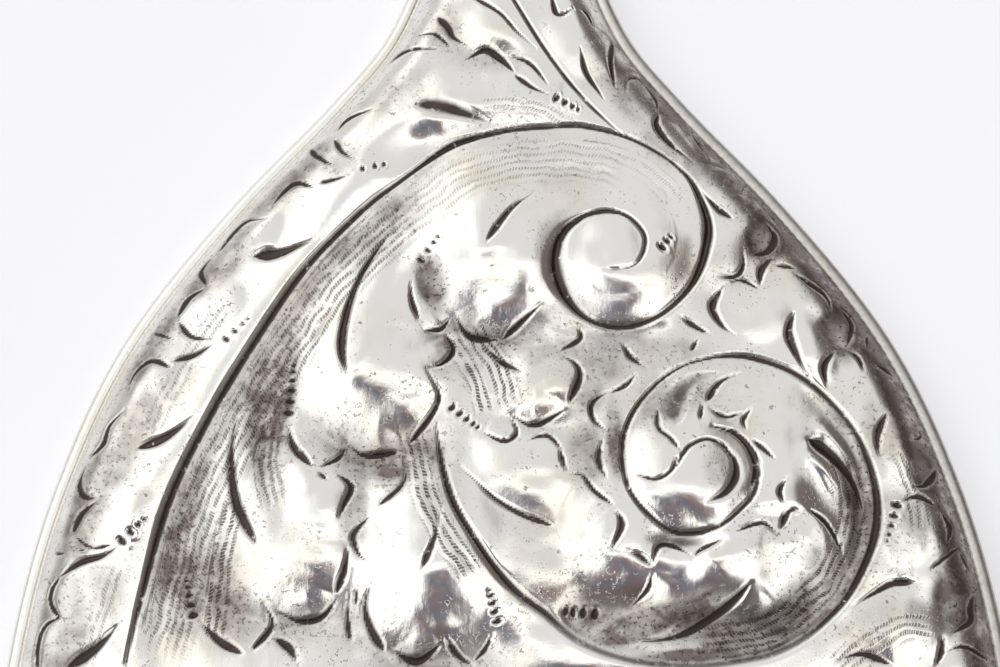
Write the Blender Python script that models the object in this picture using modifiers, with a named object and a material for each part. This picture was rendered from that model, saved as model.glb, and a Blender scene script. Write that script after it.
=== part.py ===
"""An antique silver hand mirror with a raised, domed back, a rim wire and a bevelled glass.

The mirror lies face down. +Z is the outward direction of the ornamented back, +Y runs up the handle, and the
origin is at the bottom centre of the bounding box. Units are metres.
"""

import math

import bmesh
import bpy
import numpy as np

MM = 0.001

# Outline of the whole mirror, measured to the outside of the rim wire
LENGTH = 270 * MM
HEAD_RADIUS = 69 * MM
HANDLE_END_RADIUS = 14 * MM
HEAD_CENTRE_Y = -LENGTH / 2 + HEAD_RADIUS
HANDLE_END_Y = LENGTH / 2 - HANDLE_END_RADIUS
# Half widths between the widest line of the head and the round end of the handle, as (y, half width) in mm
SIDE_STATIONS = (
    (-66, 69.0),
    (-48, 67.6),
    (-25, 62.4),
    (-4, 53.5),
    (17, 38.2),
    (32, 24.9),
    (40, 18.6),
    (49, 14.4),
    (60, 11.8),
    (76, 9.6),
    (92, 8.8),
    (107, 11.2),
    (121, 14.0),
)
HEAD_ROWS = 20
SIDE_ROWS = 30
HANDLE_END_ROWS = 8

# Rim: the two shells meet behind a round wire
WIRE_RADIUS = 0.65 * MM
WIRE_INSET = 0.70 * MM
WIRE_HEIGHT = 4.8 * MM
SHELL_INSET = 1.6 * MM

# Back shell
BACK_EDGE_HEIGHT = 5.0 * MM
BACK_SHOULDER_HEIGHT = 4.2 * MM
BACK_SHOULDER_WIDTH = 5.5 * MM
BACK_DOME_HEIGHT = 3.8 * MM
BACK_THICKNESS = 0.8 * MM

# Front frame
FRONT_EDGE_HEIGHT = 4.6 * MM
FRONT_SHOULDER_WIDTH = 3.0 * MM
FRONT_THICKNESS = 0.9 * MM
HANDLE_CLEARANCE = 0.7 * MM
CLEARANCE_START_Y = 38 * MM
CLEARANCE_END_Y = 56 * MM

# Glass and what lies behind it
OPENING_INSET = 10.0 * MM
BEZEL_INSET = 10.95 * MM
BEZEL_RADIUS = 0.55 * MM
BEZEL_HEIGHT = 0.95 * MM
GLASS_INSET = 11.0 * MM
GLASS_FACE_HEIGHT = 0.9 * MM
GLASS_EDGE_HEIGHT = 2.1 * MM
GLASS_BACK_HEIGHT = 3.9 * MM
GLASS_BEVEL_WIDTH = 8.0 * MM
TIP_START_Y = 30 * MM
PACKING_INSET = 10.1 * MM
PACKING_THICKNESS = 0.5 * MM
PACKING_LEVELS = (2.2 * MM, 7.0 * MM)
SILVERING_LEVELS = (4.05 * MM, 4.2 * MM)
PAPER_LEVELS = (4.35 * MM, 4.65 * MM)
BOARD_LEVELS = (4.8 * MM, 7.2 * MM)
PAD_INSET = 20.0 * MM
PAD_LEVELS = (7.4 * MM, 8.4 * MM)

# Handle
FILL_START_Y = 48 * MM
FILL_END_Y = 128 * MM
FILL_SIDE_CLEARANCE = 3.2 * MM
FILL_CENTRE_HEIGHT = 5.3 * MM
FILL_HALF_HEIGHT = 3.1 * MM
FILL_STATIONS = 15
CORE_START_Y = 38 * MM
CORE_END_Y = 118 * MM
CORE_WIDTH = 6.0 * MM
CORE_THICKNESS = 1.6 * MM
CORE_CLEARANCE = 0.3 * MM

# Columns of the shells: distances from the edge in mm, squeezed where the mirror is narrower than this width
COLUMNS_FROM_EDGE = (0.0, 0.35, 1.1, 2.1, 3.2, 5.6, 12.0, 26.0, 44.0)
COLUMNS_FULL_HALF_WIDTH = 52 * MM


def clear_scene():
    for item in list(bpy.data.objects):
        bpy.data.objects.remove(item, do_unlink=True)


def collection_named(name, hidden=False):
    collection = bpy.data.collections.new(name)
    bpy.context.scene.collection.children.link(collection)
    collection.hide_render = hidden
    return collection


def material(name, colour, roughness, metallic=0.0, transmission=0.0):
    made = bpy.data.materials.new(name)
    made.use_nodes = True
    shader = made.node_tree.nodes["Principled BSDF"]
    shader.inputs["Base Color"].default_value = (*colour, 1.0)
    shader.inputs["Roughness"].default_value = roughness
    shader.inputs["Metallic"].default_value = metallic
    shader.inputs["Transmission Weight"].default_value = transmission
    return made


def side_half_width(y):
    """Half width at y between the two round ends, as a cubic curve through the stations."""
    stations = np.array(SIDE_STATIONS) * MM
    ys, widths = stations[:, 0], stations[:, 1]
    slopes = np.gradient(widths, ys)
    slopes[0] = slopes[-1] = 0.0
    i = int(np.clip(np.searchsorted(ys, y) - 1, 0, len(ys) - 2))
    span = ys[i + 1] - ys[i]
    t = (y - ys[i]) / span
    start = (2 * t**3 - 3 * t**2 + 1) * widths[i] + (t**3 - 2 * t**2 + t) * span * slopes[i]
    end = (3 * t**2 - 2 * t**3) * widths[i + 1] + (t**3 - t**2) * span * slopes[i + 1]
    return start + end


def right_side():
    """Points of the right half of the outline, from the bottom of the head to the end of the handle."""
    bottom_angles = np.linspace(0, math.pi / 2, HEAD_ROWS + 1)
    side_ys = np.linspace(HEAD_CENTRE_Y, HANDLE_END_Y, SIDE_ROWS + 1)[1:-1]
    top_angles = np.linspace(0, math.pi / 2, HANDLE_END_ROWS + 1)
    points = [
        (HEAD_RADIUS * math.sin(a), HEAD_CENTRE_Y - HEAD_RADIUS * math.cos(a))
        for a in bottom_angles
    ]
    points += [(side_half_width(y), y) for y in side_ys]
    points += [
        (HANDLE_END_RADIUS * math.cos(a), HANDLE_END_Y + HANDLE_END_RADIUS * math.sin(a))
        for a in top_angles
    ]
    return np.array(points)


def inset_right_side(inset):
    """The right half of the outline moved inwards, square to itself, with its outward directions."""
    points = right_side()
    ahead = np.vstack([points[1:], [-points[-2, 0], points[-2, 1]]])
    behind = np.vstack([[-points[1, 0], points[1, 1]], points[:-1]])
    along = ahead - behind
    along /= np.linalg.norm(along, axis=1)[:, None]
    outward = np.column_stack([along[:, 1], -along[:, 0]])
    moved = points - inset * outward
    moved[[0, -1], 0] = 0.0
    return moved, outward


def mirrored_loop(right):
    """A closed loop from the points of its right half, whose ends lie on the middle plane."""
    left = right[-2:0:-1] * (-1, 1)
    return np.vstack([right, left])


def whole_outline(inset):
    return mirrored_loop(inset_right_side(inset)[0])


def head_outline(inset):
    """The outline of the head alone, with a round tip at the neck that meets both sides smoothly."""
    points, outward = inset_right_side(inset)
    last = int(np.searchsorted(right_side()[:, 1], TIP_START_Y))
    radius = points[last, 0] / outward[last, 0]
    centre_y = points[last, 1] - radius * outward[last, 1]
    start = math.atan2(outward[last, 1], outward[last, 0])
    tip_angles = np.linspace(start, math.pi / 2, 7)[1:]
    tip = [(radius * math.cos(a), centre_y + radius * math.sin(a)) for a in tip_angles]
    right = np.vstack([points[: last + 1], tip])
    right[-1, 0] = 0.0
    return mirrored_loop(right)


def distance_to_loop(points, loop):
    """The distance of each point from the nearest side of a closed loop."""
    starts = loop
    sides = np.roll(loop, -1, axis=0) - starts
    offsets = points[:, None, :] - starts[None]
    t = np.clip((offsets * sides).sum(2) / (sides**2).sum(1), 0, 1)
    return np.linalg.norm(offsets - t[..., None] * sides, axis=2).min(axis=1)


def rounded(ratio):
    """A quarter circle from 0 to 1, and 1 beyond."""
    clipped = np.clip(ratio, 0, 1)
    return np.sqrt(1 - (1 - clipped) ** 2)


def row_fractions(half_width):
    """Where the columns of a shell stand along one row, from -1 at the left edge to 1 at the right edge."""
    scale = min(1.0, half_width / COLUMNS_FULL_HALF_WIDTH)
    near = 1 - np.array(COLUMNS_FROM_EDGE) * MM * scale / max(half_width, MM)
    right = np.concatenate([[0.0], near[::-1]])
    return np.concatenate([-right[:0:-1], right])


def back_height(points, distance, half_width):
    shoulder = np.minimum(BACK_SHOULDER_WIDTH, 0.6 * np.maximum(half_width, MM))
    round_edge = BACK_SHOULDER_HEIGHT * rounded(distance / shoulder)
    dome = BACK_DOME_HEIGHT * np.maximum(half_width**2 - points[:, 0] ** 2, 0) / HEAD_RADIUS**2
    return BACK_EDGE_HEIGHT + round_edge + dome


def front_height(points, distance, half_width):
    blend = np.clip((points[:, 1] - CLEARANCE_START_Y) / (CLEARANCE_END_Y - CLEARANCE_START_Y), 0, 1)
    lift = HANDLE_CLEARANCE * blend**2 * (3 - 2 * blend)
    on_handle = np.minimum(0.6 * np.maximum(half_width, MM), 1.6 * FRONT_SHOULDER_WIDTH)
    shoulder = FRONT_SHOULDER_WIDTH * (1 - blend) + on_handle * blend
    return FRONT_EDGE_HEIGHT - (FRONT_EDGE_HEIGHT - lift) * rounded(distance / shoulder)


def shell(name, height_of, thickness, facing_up, look, parts):
    """An open surface over the whole outline, thickened inwards."""
    right = inset_right_side(SHELL_INSET)[0]
    loop = mirrored_loop(right)
    columns = len(row_fractions(HEAD_RADIUS))
    form = bmesh.new()
    bmesh.ops.create_grid(form, x_segments=columns - 1, y_segments=len(right) - 1, size=1.0)
    form.verts.ensure_lookup_table()
    order = sorted(form.verts, key=lambda v: (round(v.co.y, 4), round(v.co.x, 4)))
    plan = np.array([(f * x, y) for x, y in right for f in row_fractions(x)])
    half_width = np.repeat(right[:, 0], columns)
    height = height_of(plan, distance_to_loop(plan, loop), half_width)
    for vertex, (x, y), z in zip(order, plan, height):
        vertex.co = (x, y, z)
    bmesh.ops.remove_doubles(form, verts=form.verts, dist=0.001 * MM)
    if not facing_up:
        bmesh.ops.reverse_faces(form, faces=form.faces)
    mesh = bpy.data.meshes.new(name)
    form.to_mesh(mesh)
    form.free()
    made = bpy.data.objects.new(name, mesh)
    parts.objects.link(made)
    mesh.materials.append(look)
    mesh.shade_smooth()
    wall = made.modifiers.new("wall", "SOLIDIFY")
    wall.thickness = thickness
    wall.offset = -1.0
    wall.use_even_offset = False
    return made


def loop_curve(name, loop, height, parts):
    """A closed curve through the points of a loop, lying level."""
    curve = bpy.data.curves.new(name, "CURVE")
    spline = curve.splines.new("POLY")
    spline.points.add(len(loop) - 1)
    for point, (x, y) in zip(spline.points, loop):
        point.co = (x, y, 0.0, 1.0)
    spline.use_cyclic_u = True
    made = bpy.data.objects.new(name, curve)
    made.location.z = height
    parts.objects.link(made)
    return made


def round_wire(name, loop, height, radius, look, parts):
    made = loop_curve(name, loop, height, parts)
    made.data.dimensions = "3D"
    made.data.bevel_depth = radius
    made.data.bevel_resolution = 2
    made.data.materials.append(look)
    return made


def plate(name, loop, levels, look, parts):
    """A flat sheet between two levels."""
    low, high = levels
    made = loop_curve(name, loop, (low + high) / 2, parts)
    made.data.dimensions = "2D"
    made.data.fill_mode = "BOTH"
    made.data.extrude = (high - low) / 2
    made.data.materials.append(look)
    return made


def as_mesh(made, parts):
    """The same object as a mesh with its caps welded to its sides, so that it can be cut or can cut."""
    bpy.context.view_layer.update()
    evaluated = made.evaluated_get(bpy.context.evaluated_depsgraph_get())
    mesh = bpy.data.meshes.new_from_object(evaluated)
    form = bmesh.new()
    form.from_mesh(mesh)
    bmesh.ops.remove_doubles(form, verts=form.verts, dist=0.001 * MM)
    bmesh.ops.recalc_face_normals(form, faces=form.faces)
    form.to_mesh(mesh)
    form.free()
    name, placed = made.name, made.matrix_world.copy()
    bpy.data.objects.remove(made)
    made = bpy.data.objects.new(name, mesh)
    made.matrix_world = placed
    parts.objects.link(made)
    return made


def helper(made):
    made.hide_render = True
    made.display_type = "WIRE"
    return made


def cut(made, cutter):
    boolean = made.modifiers.new("cut", "BOOLEAN")
    boolean.operation = "DIFFERENCE"
    boolean.solver = "EXACT"
    boolean.object = cutter


def add_box(name, low, high, collection):
    form = bmesh.new()
    bmesh.ops.create_cube(form, size=1.0)
    centre = (np.array(low) + np.array(high)) / 2
    size = np.array(high) - np.array(low)
    for vertex in form.verts:
        vertex.co = centre + np.array(vertex.co) * size
    mesh = bpy.data.meshes.new(name)
    form.to_mesh(mesh)
    form.free()
    made = bpy.data.objects.new(name, mesh)
    collection.objects.link(made)
    return made


def back_shell(parts, silver):
    return shell("back_shell", back_height, BACK_THICKNESS, True, silver, parts)


def front_frame(parts, cutters, silver):
    frame = shell("front_frame", front_height, FRONT_THICKNESS, False, silver, parts)
    opening = plate("glass_opening", head_outline(OPENING_INSET), (-3 * MM, 4 * MM), silver, cutters)
    cut(frame, helper(as_mesh(opening, cutters)))
    return frame


def mirror_glass(parts, look):
    """A plate whose front edge is ground to a wide, shallow bevel."""
    form = bmesh.new()
    edge = [form.verts.new((x, y, GLASS_EDGE_HEIGHT)) for x, y in head_outline(GLASS_INSET)]
    front = form.faces.new(edge)
    if front.normal.z > 0 or front.calc_area() == 0:
        front.normal_flip()
    raised = bmesh.ops.extrude_face_region(form, geom=[front])
    for item in raised["geom"]:
        if isinstance(item, bmesh.types.BMVert):
            item.co.z = GLASS_BACK_HEIGHT
    form.normal_update()
    bmesh.ops.recalc_face_normals(form, faces=form.faces)
    front = min(form.faces, key=lambda face: face.calc_center_median().z)
    bmesh.ops.inset_region(form, faces=[front], thickness=GLASS_BEVEL_WIDTH, use_even_offset=True)
    for vertex in front.verts:
        vertex.co.z = GLASS_FACE_HEIGHT
    mesh = bpy.data.meshes.new("mirror_glass")
    form.to_mesh(mesh)
    form.free()
    mesh.materials.append(look)
    made = bpy.data.objects.new("mirror_glass", mesh)
    parts.objects.link(made)
    return made


def edge_packing(parts, cutters, look):
    """The card strip that stands around the glass and the board."""
    strip = as_mesh(plate("edge_packing", head_outline(PACKING_INSET), PACKING_LEVELS, look, parts), parts)
    inside = head_outline(PACKING_INSET + PACKING_THICKNESS)
    low, high = PACKING_LEVELS
    hole = plate("packing_inside", inside, (low - MM, high + MM), look, cutters)
    cut(strip, helper(as_mesh(hole, cutters)))
    return strip


def handle_fill(parts, look):
    """A tapering oval body that follows the inside of the hollow handle."""
    curve = bpy.data.curves.new("handle_fill", "CURVE")
    curve.dimensions = "3D"
    curve.use_fill_caps = True
    curve.bevel_depth = 1.0
    curve.bevel_resolution = 4
    spline = curve.splines.new("POLY")
    spline.points.add(FILL_STATIONS - 1)
    half_widths = []
    for point, y in zip(spline.points, np.linspace(FILL_START_Y, FILL_END_Y, FILL_STATIONS)):
        point.co = (0.0, y, 0.0, 1.0)
        if y < HANDLE_END_Y:
            outer = side_half_width(y)
        else:
            outer = math.sqrt(HANDLE_END_RADIUS**2 - (y - HANDLE_END_Y) ** 2)
        point.radius = outer - FILL_SIDE_CLEARANCE
        half_widths.append(point.radius)
    curve.materials.append(look)
    made = bpy.data.objects.new("handle_fill", curve)
    parts.objects.link(made)
    made = as_mesh(made, parts)
    # The sections are round so far: each is flattened to the same half height.
    ys = np.linspace(FILL_START_Y, FILL_END_Y, FILL_STATIONS)
    for vertex in made.data.vertices:
        vertex.co.z *= FILL_HALF_HEIGHT / np.interp(vertex.co.y, ys, half_widths)
        vertex.co.z += FILL_CENTRE_HEIGHT
    return made


def handle_core(parts, cutters, look, fill):
    """A flat steel strip in the fill, standing out of it at the neck."""
    half = np.array((CORE_WIDTH / 2, 0.0, CORE_THICKNESS / 2))
    start = np.array((0.0, CORE_START_Y, FILL_CENTRE_HEIGHT))
    end = np.array((0.0, CORE_END_Y, FILL_CENTRE_HEIGHT))
    core = add_box("handle_core", start - half, end + half, parts)
    core.data.materials.append(look)
    room = half + (CORE_CLEARANCE, CORE_CLEARANCE, CORE_CLEARANCE)
    slot = add_box("core_slot", start - room, end + room, cutters)
    cut(fill, helper(slot))
    return core


def build():
    clear_scene()
    parts = collection_named("hand_mirror")
    cutters = collection_named("cutters", hidden=True)
    silver = material("silver", (0.86, 0.84, 0.79), 0.22, metallic=1.0)
    glass = material("bevelled_glass", (0.90, 0.95, 0.93), 0.02, transmission=1.0)
    mirror = material("silvering", (0.93, 0.93, 0.92), 0.05, metallic=1.0)
    paper = material("backing_paper", (0.45, 0.36, 0.26), 0.85)
    wood = material("board_wood", (0.42, 0.27, 0.14), 0.6)
    card = material("packing_card", (0.50, 0.42, 0.32), 0.85)
    wadding = material("wadding", (0.62, 0.58, 0.50), 0.95)
    pitch = material("pitch", (0.05, 0.035, 0.025), 0.5)
    steel = material("core_steel", (0.45, 0.44, 0.42), 0.4, metallic=1.0)

    back_shell(parts, silver)
    front_frame(parts, cutters, silver)
    round_wire("rim_wire", whole_outline(WIRE_INSET), WIRE_HEIGHT, WIRE_RADIUS, silver, parts)
    round_wire("glass_bezel", head_outline(BEZEL_INSET), BEZEL_HEIGHT, BEZEL_RADIUS, silver, parts)
    mirror_glass(parts, glass)
    plate("silvering", head_outline(GLASS_INSET), SILVERING_LEVELS, mirror, parts)
    plate("backing_paper", head_outline(GLASS_INSET), PAPER_LEVELS, paper, parts)
    plate("backing_board", head_outline(GLASS_INSET), BOARD_LEVELS, wood, parts)
    edge_packing(parts, cutters, card)
    plate("packing_pad", head_outline(PAD_INSET), PAD_LEVELS, wadding, parts)
    fill = handle_fill(parts, pitch)
    handle_core(parts, cutters, steel, fill)


build()
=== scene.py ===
"""Looks of the antique silver hand mirror: the raised and chased back, the tarnish, and a soft white studio.

Lengths in the ornament functions are millimetres in the frame of the CAD model: +X right, +Y up the handle.
"""

import copy
import math

import bpy
import numpy as np
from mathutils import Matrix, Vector
from mathutils.kdtree import KDTree


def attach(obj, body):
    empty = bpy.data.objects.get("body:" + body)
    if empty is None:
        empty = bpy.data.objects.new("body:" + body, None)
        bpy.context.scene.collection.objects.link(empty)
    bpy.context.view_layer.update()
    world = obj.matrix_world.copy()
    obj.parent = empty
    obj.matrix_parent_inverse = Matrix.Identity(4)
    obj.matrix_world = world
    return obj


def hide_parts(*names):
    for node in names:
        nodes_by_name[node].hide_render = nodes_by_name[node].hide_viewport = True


MM = 0.001

# The outline of the CAD model, as in its driving dimensions, in millimetres
HEAD_RADIUS = 69.0
HANDLE_END_RADIUS = 14.0
SIDE_STATIONS = (
    (-66, 69.0), (-48, 67.6), (-25, 62.4), (-4, 53.5), (17, 38.2), (32, 24.9), (40, 18.6),
    (49, 14.4), (60, 11.8), (76, 9.6), (92, 8.8), (107, 11.2), (121, 14.0),
)
SHELL_INSET = 1.6
SHELL_THICKNESS = 0.8
SHOULDER_HEIGHT = 4.2
SHOULDER_WIDTH = 5.5
DOME_HEIGHT = 3.8

# The ground of the ornament keeps a share of the CAD dome, so that the raised work stays inside the CAD box
EDGE_HEIGHT = 5.0
GROUND_DOME = 0.40
GROOVE_ROOM = 0.45
TOP_HEIGHT = 12.80
PLAIN_EDGE = 1.3
DOME_FILLET = 0.30
CAP_FILLET = 0.40

# The section of a chased line, as shares of its width and its depth
CUT_HALF_WIDTH = 0.44
CUT_WALL = 0.85
CUT_DEPTH = 0.62
FINEST_HALF_WIDTH = 0.12
LIP_PLACE = 1.7
LIP_WIDTH = 0.8
LIP_HEIGHT = 0.03

# The swelling of the metal away from every line, and the unevenness that the hammer leaves: cell size, height
SWELLING_HEIGHT = 0.26
SWELLING_REACH = 2.2
FAR_FROM_LINES = 9.0
BROAD_UNEVENNESS = (7.0, 0.06)
FINE_UNEVENNESS = (2.6, 0.02)
RIM_SCALLOPS = (4.5, 0.9)
ORNAMENT_SEED = 11

# The wire between the back and the front
RIM_POINTS = 1600
RIM_SIDES = 14
RIM_INSET = 1.15
RIM_RADIUS = 1.10
RIM_RISE = 0.72
RIM_HEIGHT = 4.95

# Mesh of the back shell
COLUMNS = 400
INNER_COLUMNS = 12
COARSE_STEP = 0.7
FINE_STEP = 0.27
FINE_FROM_Y = -56.0
FINE_TO_Y = 52.0

# Camera and studio
CAMERA_ELEVATION = 72.0
CAMERA_DISTANCE = 420 * MM
CAMERA_LENS = 110.0
CAMERA_TARGET = (-1.15 * MM, -5.7 * MM, 12.8 * MM)


# ---------------------------------------------------------------- outline


def side_half_width(y):
    """Half width of the whole outline at y, between the two round ends."""
    stations = np.array(SIDE_STATIONS)
    ys, widths = stations[:, 0], stations[:, 1]
    slopes = np.gradient(widths, ys)
    slopes[0] = slopes[-1] = 0.0
    i = np.clip(np.searchsorted(ys, y) - 1, 0, len(ys) - 2)
    span = ys[i + 1] - ys[i]
    t = (y - ys[i]) / span
    start = (2 * t**3 - 3 * t**2 + 1) * widths[i] + (t**3 - 2 * t**2 + t) * span * slopes[i]
    end = (3 * t**2 - 2 * t**3) * widths[i + 1] + (t**3 - t**2) * span * slopes[i + 1]
    return start + end


def right_side(inset):
    """The right half of the outline, from the foot of the head to the end of the handle, moved inwards."""
    head_y, end_y = SIDE_STATIONS[0][0], SIDE_STATIONS[-1][0]
    head = np.linspace(0, math.pi / 2, 400)[:-1]
    side = np.linspace(head_y, end_y, 1200)
    tip = np.linspace(0, math.pi / 2, 100)[1:]
    x = np.concatenate([HEAD_RADIUS * np.sin(head), side_half_width(side), HANDLE_END_RADIUS * np.cos(tip)])
    y = np.concatenate([head_y - HEAD_RADIUS * np.cos(head), side, end_y + HANDLE_END_RADIUS * np.sin(tip)])
    along = np.gradient(np.column_stack([x, y]), axis=0)
    along[0] = (1, 0)
    along[-1] = (-1, 0)
    along /= np.linalg.norm(along, axis=1)[:, None]
    x, y = x - inset * along[:, 1], y + inset * along[:, 0]
    x[[0, -1]] = 0.0
    return x, y


# ---------------------------------------------------------------- the sheet as a grid of heights


def row_positions(low, high):
    """Rows along the mirror: by angle on the round head, then even, and finer round the main ornament."""
    head_y = SIDE_STATIONS[0][0]
    end_y = SIDE_STATIONS[-1][0]
    head_reach, end_reach = head_y - low, high - end_y
    head = np.linspace(0, math.pi / 2, int(head_reach * math.pi / 2 / COARSE_STEP))
    rows = [head_y - head_reach * np.cos(head)[:-1]]
    for start, stop, step in (
        (head_y, FINE_FROM_Y, COARSE_STEP),
        (FINE_FROM_Y, FINE_TO_Y, FINE_STEP),
        (FINE_TO_Y, end_y, COARSE_STEP),
    ):
        rows.append(np.linspace(start, stop, int((stop - start) / step) + 1)[:-1])
    end = np.linspace(0, math.pi / 2, 40)
    rows.append(end_y + end_reach * np.sin(end))
    return np.concatenate(rows)


class Sheet:
    """The back as a grid of points, with the fields that the chaser's work changes."""

    def __init__(self):
        x, y = right_side(SHELL_INSET)
        self.rows = row_positions(y[0], y[-1])
        self.half = np.interp(self.rows, y, x)
        self.half[[0, -1]] = 0.0
        self.across = np.linspace(-1, 1, COLUMNS + 1)
        self.x = self.half[:, None] * self.across[None]
        self.y = np.repeat(self.rows[:, None], COLUMNS + 1, axis=1)
        outline = np.column_stack([x, y])
        self.rim = self.distance_to_rim(outline)
        shape = self.x.shape
        self.relief = np.zeros(shape)
        self.groove = np.zeros(shape)
        self.shade = np.zeros(shape)
        self.nearest = np.full(shape, FAR_FROM_LINES)
        self.line_u = np.zeros(shape)
        self.line_v = np.zeros(shape)
        self.line_amount = np.zeros(shape)

    def distance_to_rim(self, outline):
        tree = KDTree(2 * len(outline))
        for i, (x, y) in enumerate(outline):
            tree.insert((x, y, 0.0), 2 * i)
            tree.insert((-x, y, 0.0), 2 * i + 1)
        tree.balance()
        step = 8
        coarse = np.arange(0, COLUMNS + 1, step)
        rim = np.empty((len(self.rows), len(coarse)))
        for i in range(len(self.rows)):
            for j, c in enumerate(coarse):
                rim[i, j] = tree.find((self.x[i, c], self.y[i, c], 0.0))[2]
        full = np.arange(COLUMNS + 1)
        return np.array([np.interp(full, coarse, line) for line in rim])

    def block(self, low, high):
        """The part of the grid that holds every point between two corners."""
        first = np.searchsorted(self.rows, low[1])
        last = np.searchsorted(self.rows, high[1]) + 1
        half = np.maximum(self.half[first:last], 0.5)
        if not len(half):
            return slice(0, 0), slice(0, 0)
        left = np.searchsorted(self.across, (low[0] / half).min())
        right = np.searchsorted(self.across, (high[0] / half).max()) + 1
        return slice(first, last), slice(max(left - 1, 0), right)

    def turned(self, centre_y, scale_x, scale_y):
        """The same sheet read the other way round and scaled, for a second copy of the ornament."""
        other = copy.copy(self)
        other.rows = (centre_y + (centre_y - self.rows) / scale_y)[::-1]
        other.half = self.half[::-1] / scale_x
        other.x = other.half[:, None] * self.across[None]
        other.y = np.repeat(other.rows[:, None], COLUMNS + 1, axis=1)
        for field in ("relief", "groove", "shade", "nearest", "line_u", "line_v", "line_amount"):
            setattr(other, field, getattr(self, field)[::-1, ::-1])
        return other


def smooth_line(points, step=0.6):
    """A smooth curve through the points, as closely spaced points."""
    p = np.array(points, float)
    if len(p) == 2:
        count = max(2, int(np.linalg.norm(p[1] - p[0]) / step) + 1)
        return p[0] + (p[1] - p[0]) * np.linspace(0, 1, count)[:, None]
    p = np.vstack([2 * p[0] - p[1], p, 2 * p[-1] - p[-2]])
    out = [p[1]]
    for a, b, c, d in zip(p, p[1:], p[2:], p[3:]):
        count = max(2, int(np.linalg.norm(c - b) / step) + 1)
        t = np.linspace(0, 1, count + 1)[1:, None]
        out.extend(
            0.5 * (2 * b + (c - a) * t + (2 * a - 5 * b + 4 * c - d) * t**2 + (3 * b - a - 3 * c + d) * t**3)
        )
    return np.array(out)


def near(sheet, points, reach):
    """The block around a line, with each point's distance, side (left is positive) and place along it."""
    line = smooth_line(points)
    whole = sheet.block(line.min(0) - reach, line.max(0) + reach)
    shape = sheet.x[whole].shape
    distance = np.full(shape, reach * 2.0)
    side = np.ones(shape)
    place = np.zeros(shape)
    lengths = np.linalg.norm(np.diff(line, axis=0), axis=1)
    passed = np.concatenate([[0.0], np.cumsum(lengths)])
    for a, b, length, before in zip(line, line[1:], lengths, passed):
        rows, columns = sheet.block(np.minimum(a, b) - reach, np.maximum(a, b) + reach)
        part = (
            slice(rows.start - whole[0].start, rows.stop - whole[0].start),
            slice(max(columns.start - whole[1].start, 0), columns.stop - whole[1].start),
        )
        block = (rows, slice(whole[1].start + part[1].start, columns.stop))
        dx, dy = sheet.x[block] - a[0], sheet.y[block] - a[1]
        ux, uy = (b - a) / length
        t = np.clip(dx * ux + dy * uy, 0, length)
        found = np.hypot(dx - t * ux, dy - t * uy)
        closer = found < distance[part]
        distance[part][closer] = found[closer]
        side[part][closer] = np.sign(ux * dy - uy * dx)[closer]
        place[part][closer] = (before + t)[closer]
    return whole, distance, side, place, passed[-1]


def fade(value, start, stop):
    """0 at start, 1 at stop, smooth between."""
    t = np.clip((value - start) / (stop - start), 0, 1)
    return t * t * (3 - 2 * t)


def swell(t, peak):
    """Width of a cut along its length: a fine start, widest at peak, and a rounder end."""
    rise = np.clip(t / peak, 0, 1) ** 0.75
    fall = np.clip((1 - t) / (1 - peak), 0, 1) ** 0.5
    return np.minimum(rise, fall)


def chase(sheet, points, width=0.9, depth=0.42, peak=None, banks=(0.0, 0.0), reach=2.2, tone=1.0):
    """One chased line. banks are how far the sheet stands up on its left and right, tone how dark it is."""
    whole, distance, side, place, length = near(sheet, points, max(3 * reach, 2 * width))
    t = place / length
    share = swell(t, peak) if peak else np.minimum(1, 0.35 + 3 * np.minimum(t, 1 - t))
    half = np.maximum(CUT_HALF_WIDTH * width * share, FINEST_HALF_WIDTH)
    cut = np.exp(-((distance / (CUT_WALL * half)) ** 3)) * np.minimum(1, 0.25 + share)
    lip = np.exp(-(((distance - LIP_PLACE * half) / (LIP_WIDTH * half)) ** 2)) * share
    sheet.relief[whole] += depth * (LIP_HEIGHT * lip - CUT_DEPTH * cut)
    bank = np.where(side > 0, banks[0], banks[1]) * share * np.exp(-distance / reach)
    bank *= fade(-distance, -3 * reach, -1.5 * reach)
    sheet.relief[whole] += bank * (1 - np.exp(-distance / 0.3))
    sheet.groove[whole] = np.maximum(sheet.groove[whole], tone * cut)
    sheet.nearest[whole] = np.minimum(sheet.nearest[whole], distance / np.maximum(share, 0.3))


def work(sheet, tool, rows):
    """Uses one tool on the sheet several times. Each row holds the tool's settings, in its own order."""
    for settings in rows:
        tool(sheet, *settings)


def falling_side(sheet, points, side, depth, fall=1.1, rise=6.0, shade=0.0):
    """The sheet drops away beside a line, on its left (1) or right (-1), and comes back up further off. The
    colour beside the line darkens by shade there, as painted shade.
    """
    whole, distance, which, place, length = near(sheet, points, 2.2 * rise)
    t = place / length
    ends = fade(t, 0.0, 0.08) * fade(-t, -1.0, -0.75)
    beside = np.where(which * side > 0, 1.0, 0.0) * ends
    drop = np.exp(-((distance / rise) ** 2)) * (1 - np.exp(-((distance / fall) ** 2)))
    drop *= fade(-distance, -2.2 * rise, -1.6 * rise)
    sheet.relief[whole] -= depth * beside * drop
    # Painted shade in the colour, where the sheet falls away beside the line
    painted_shade = shade * beside * np.exp(-((distance / (1.6 * fall)) ** 2))
    sheet.shade[whole] = np.maximum(sheet.shade[whole], painted_shade)


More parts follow.
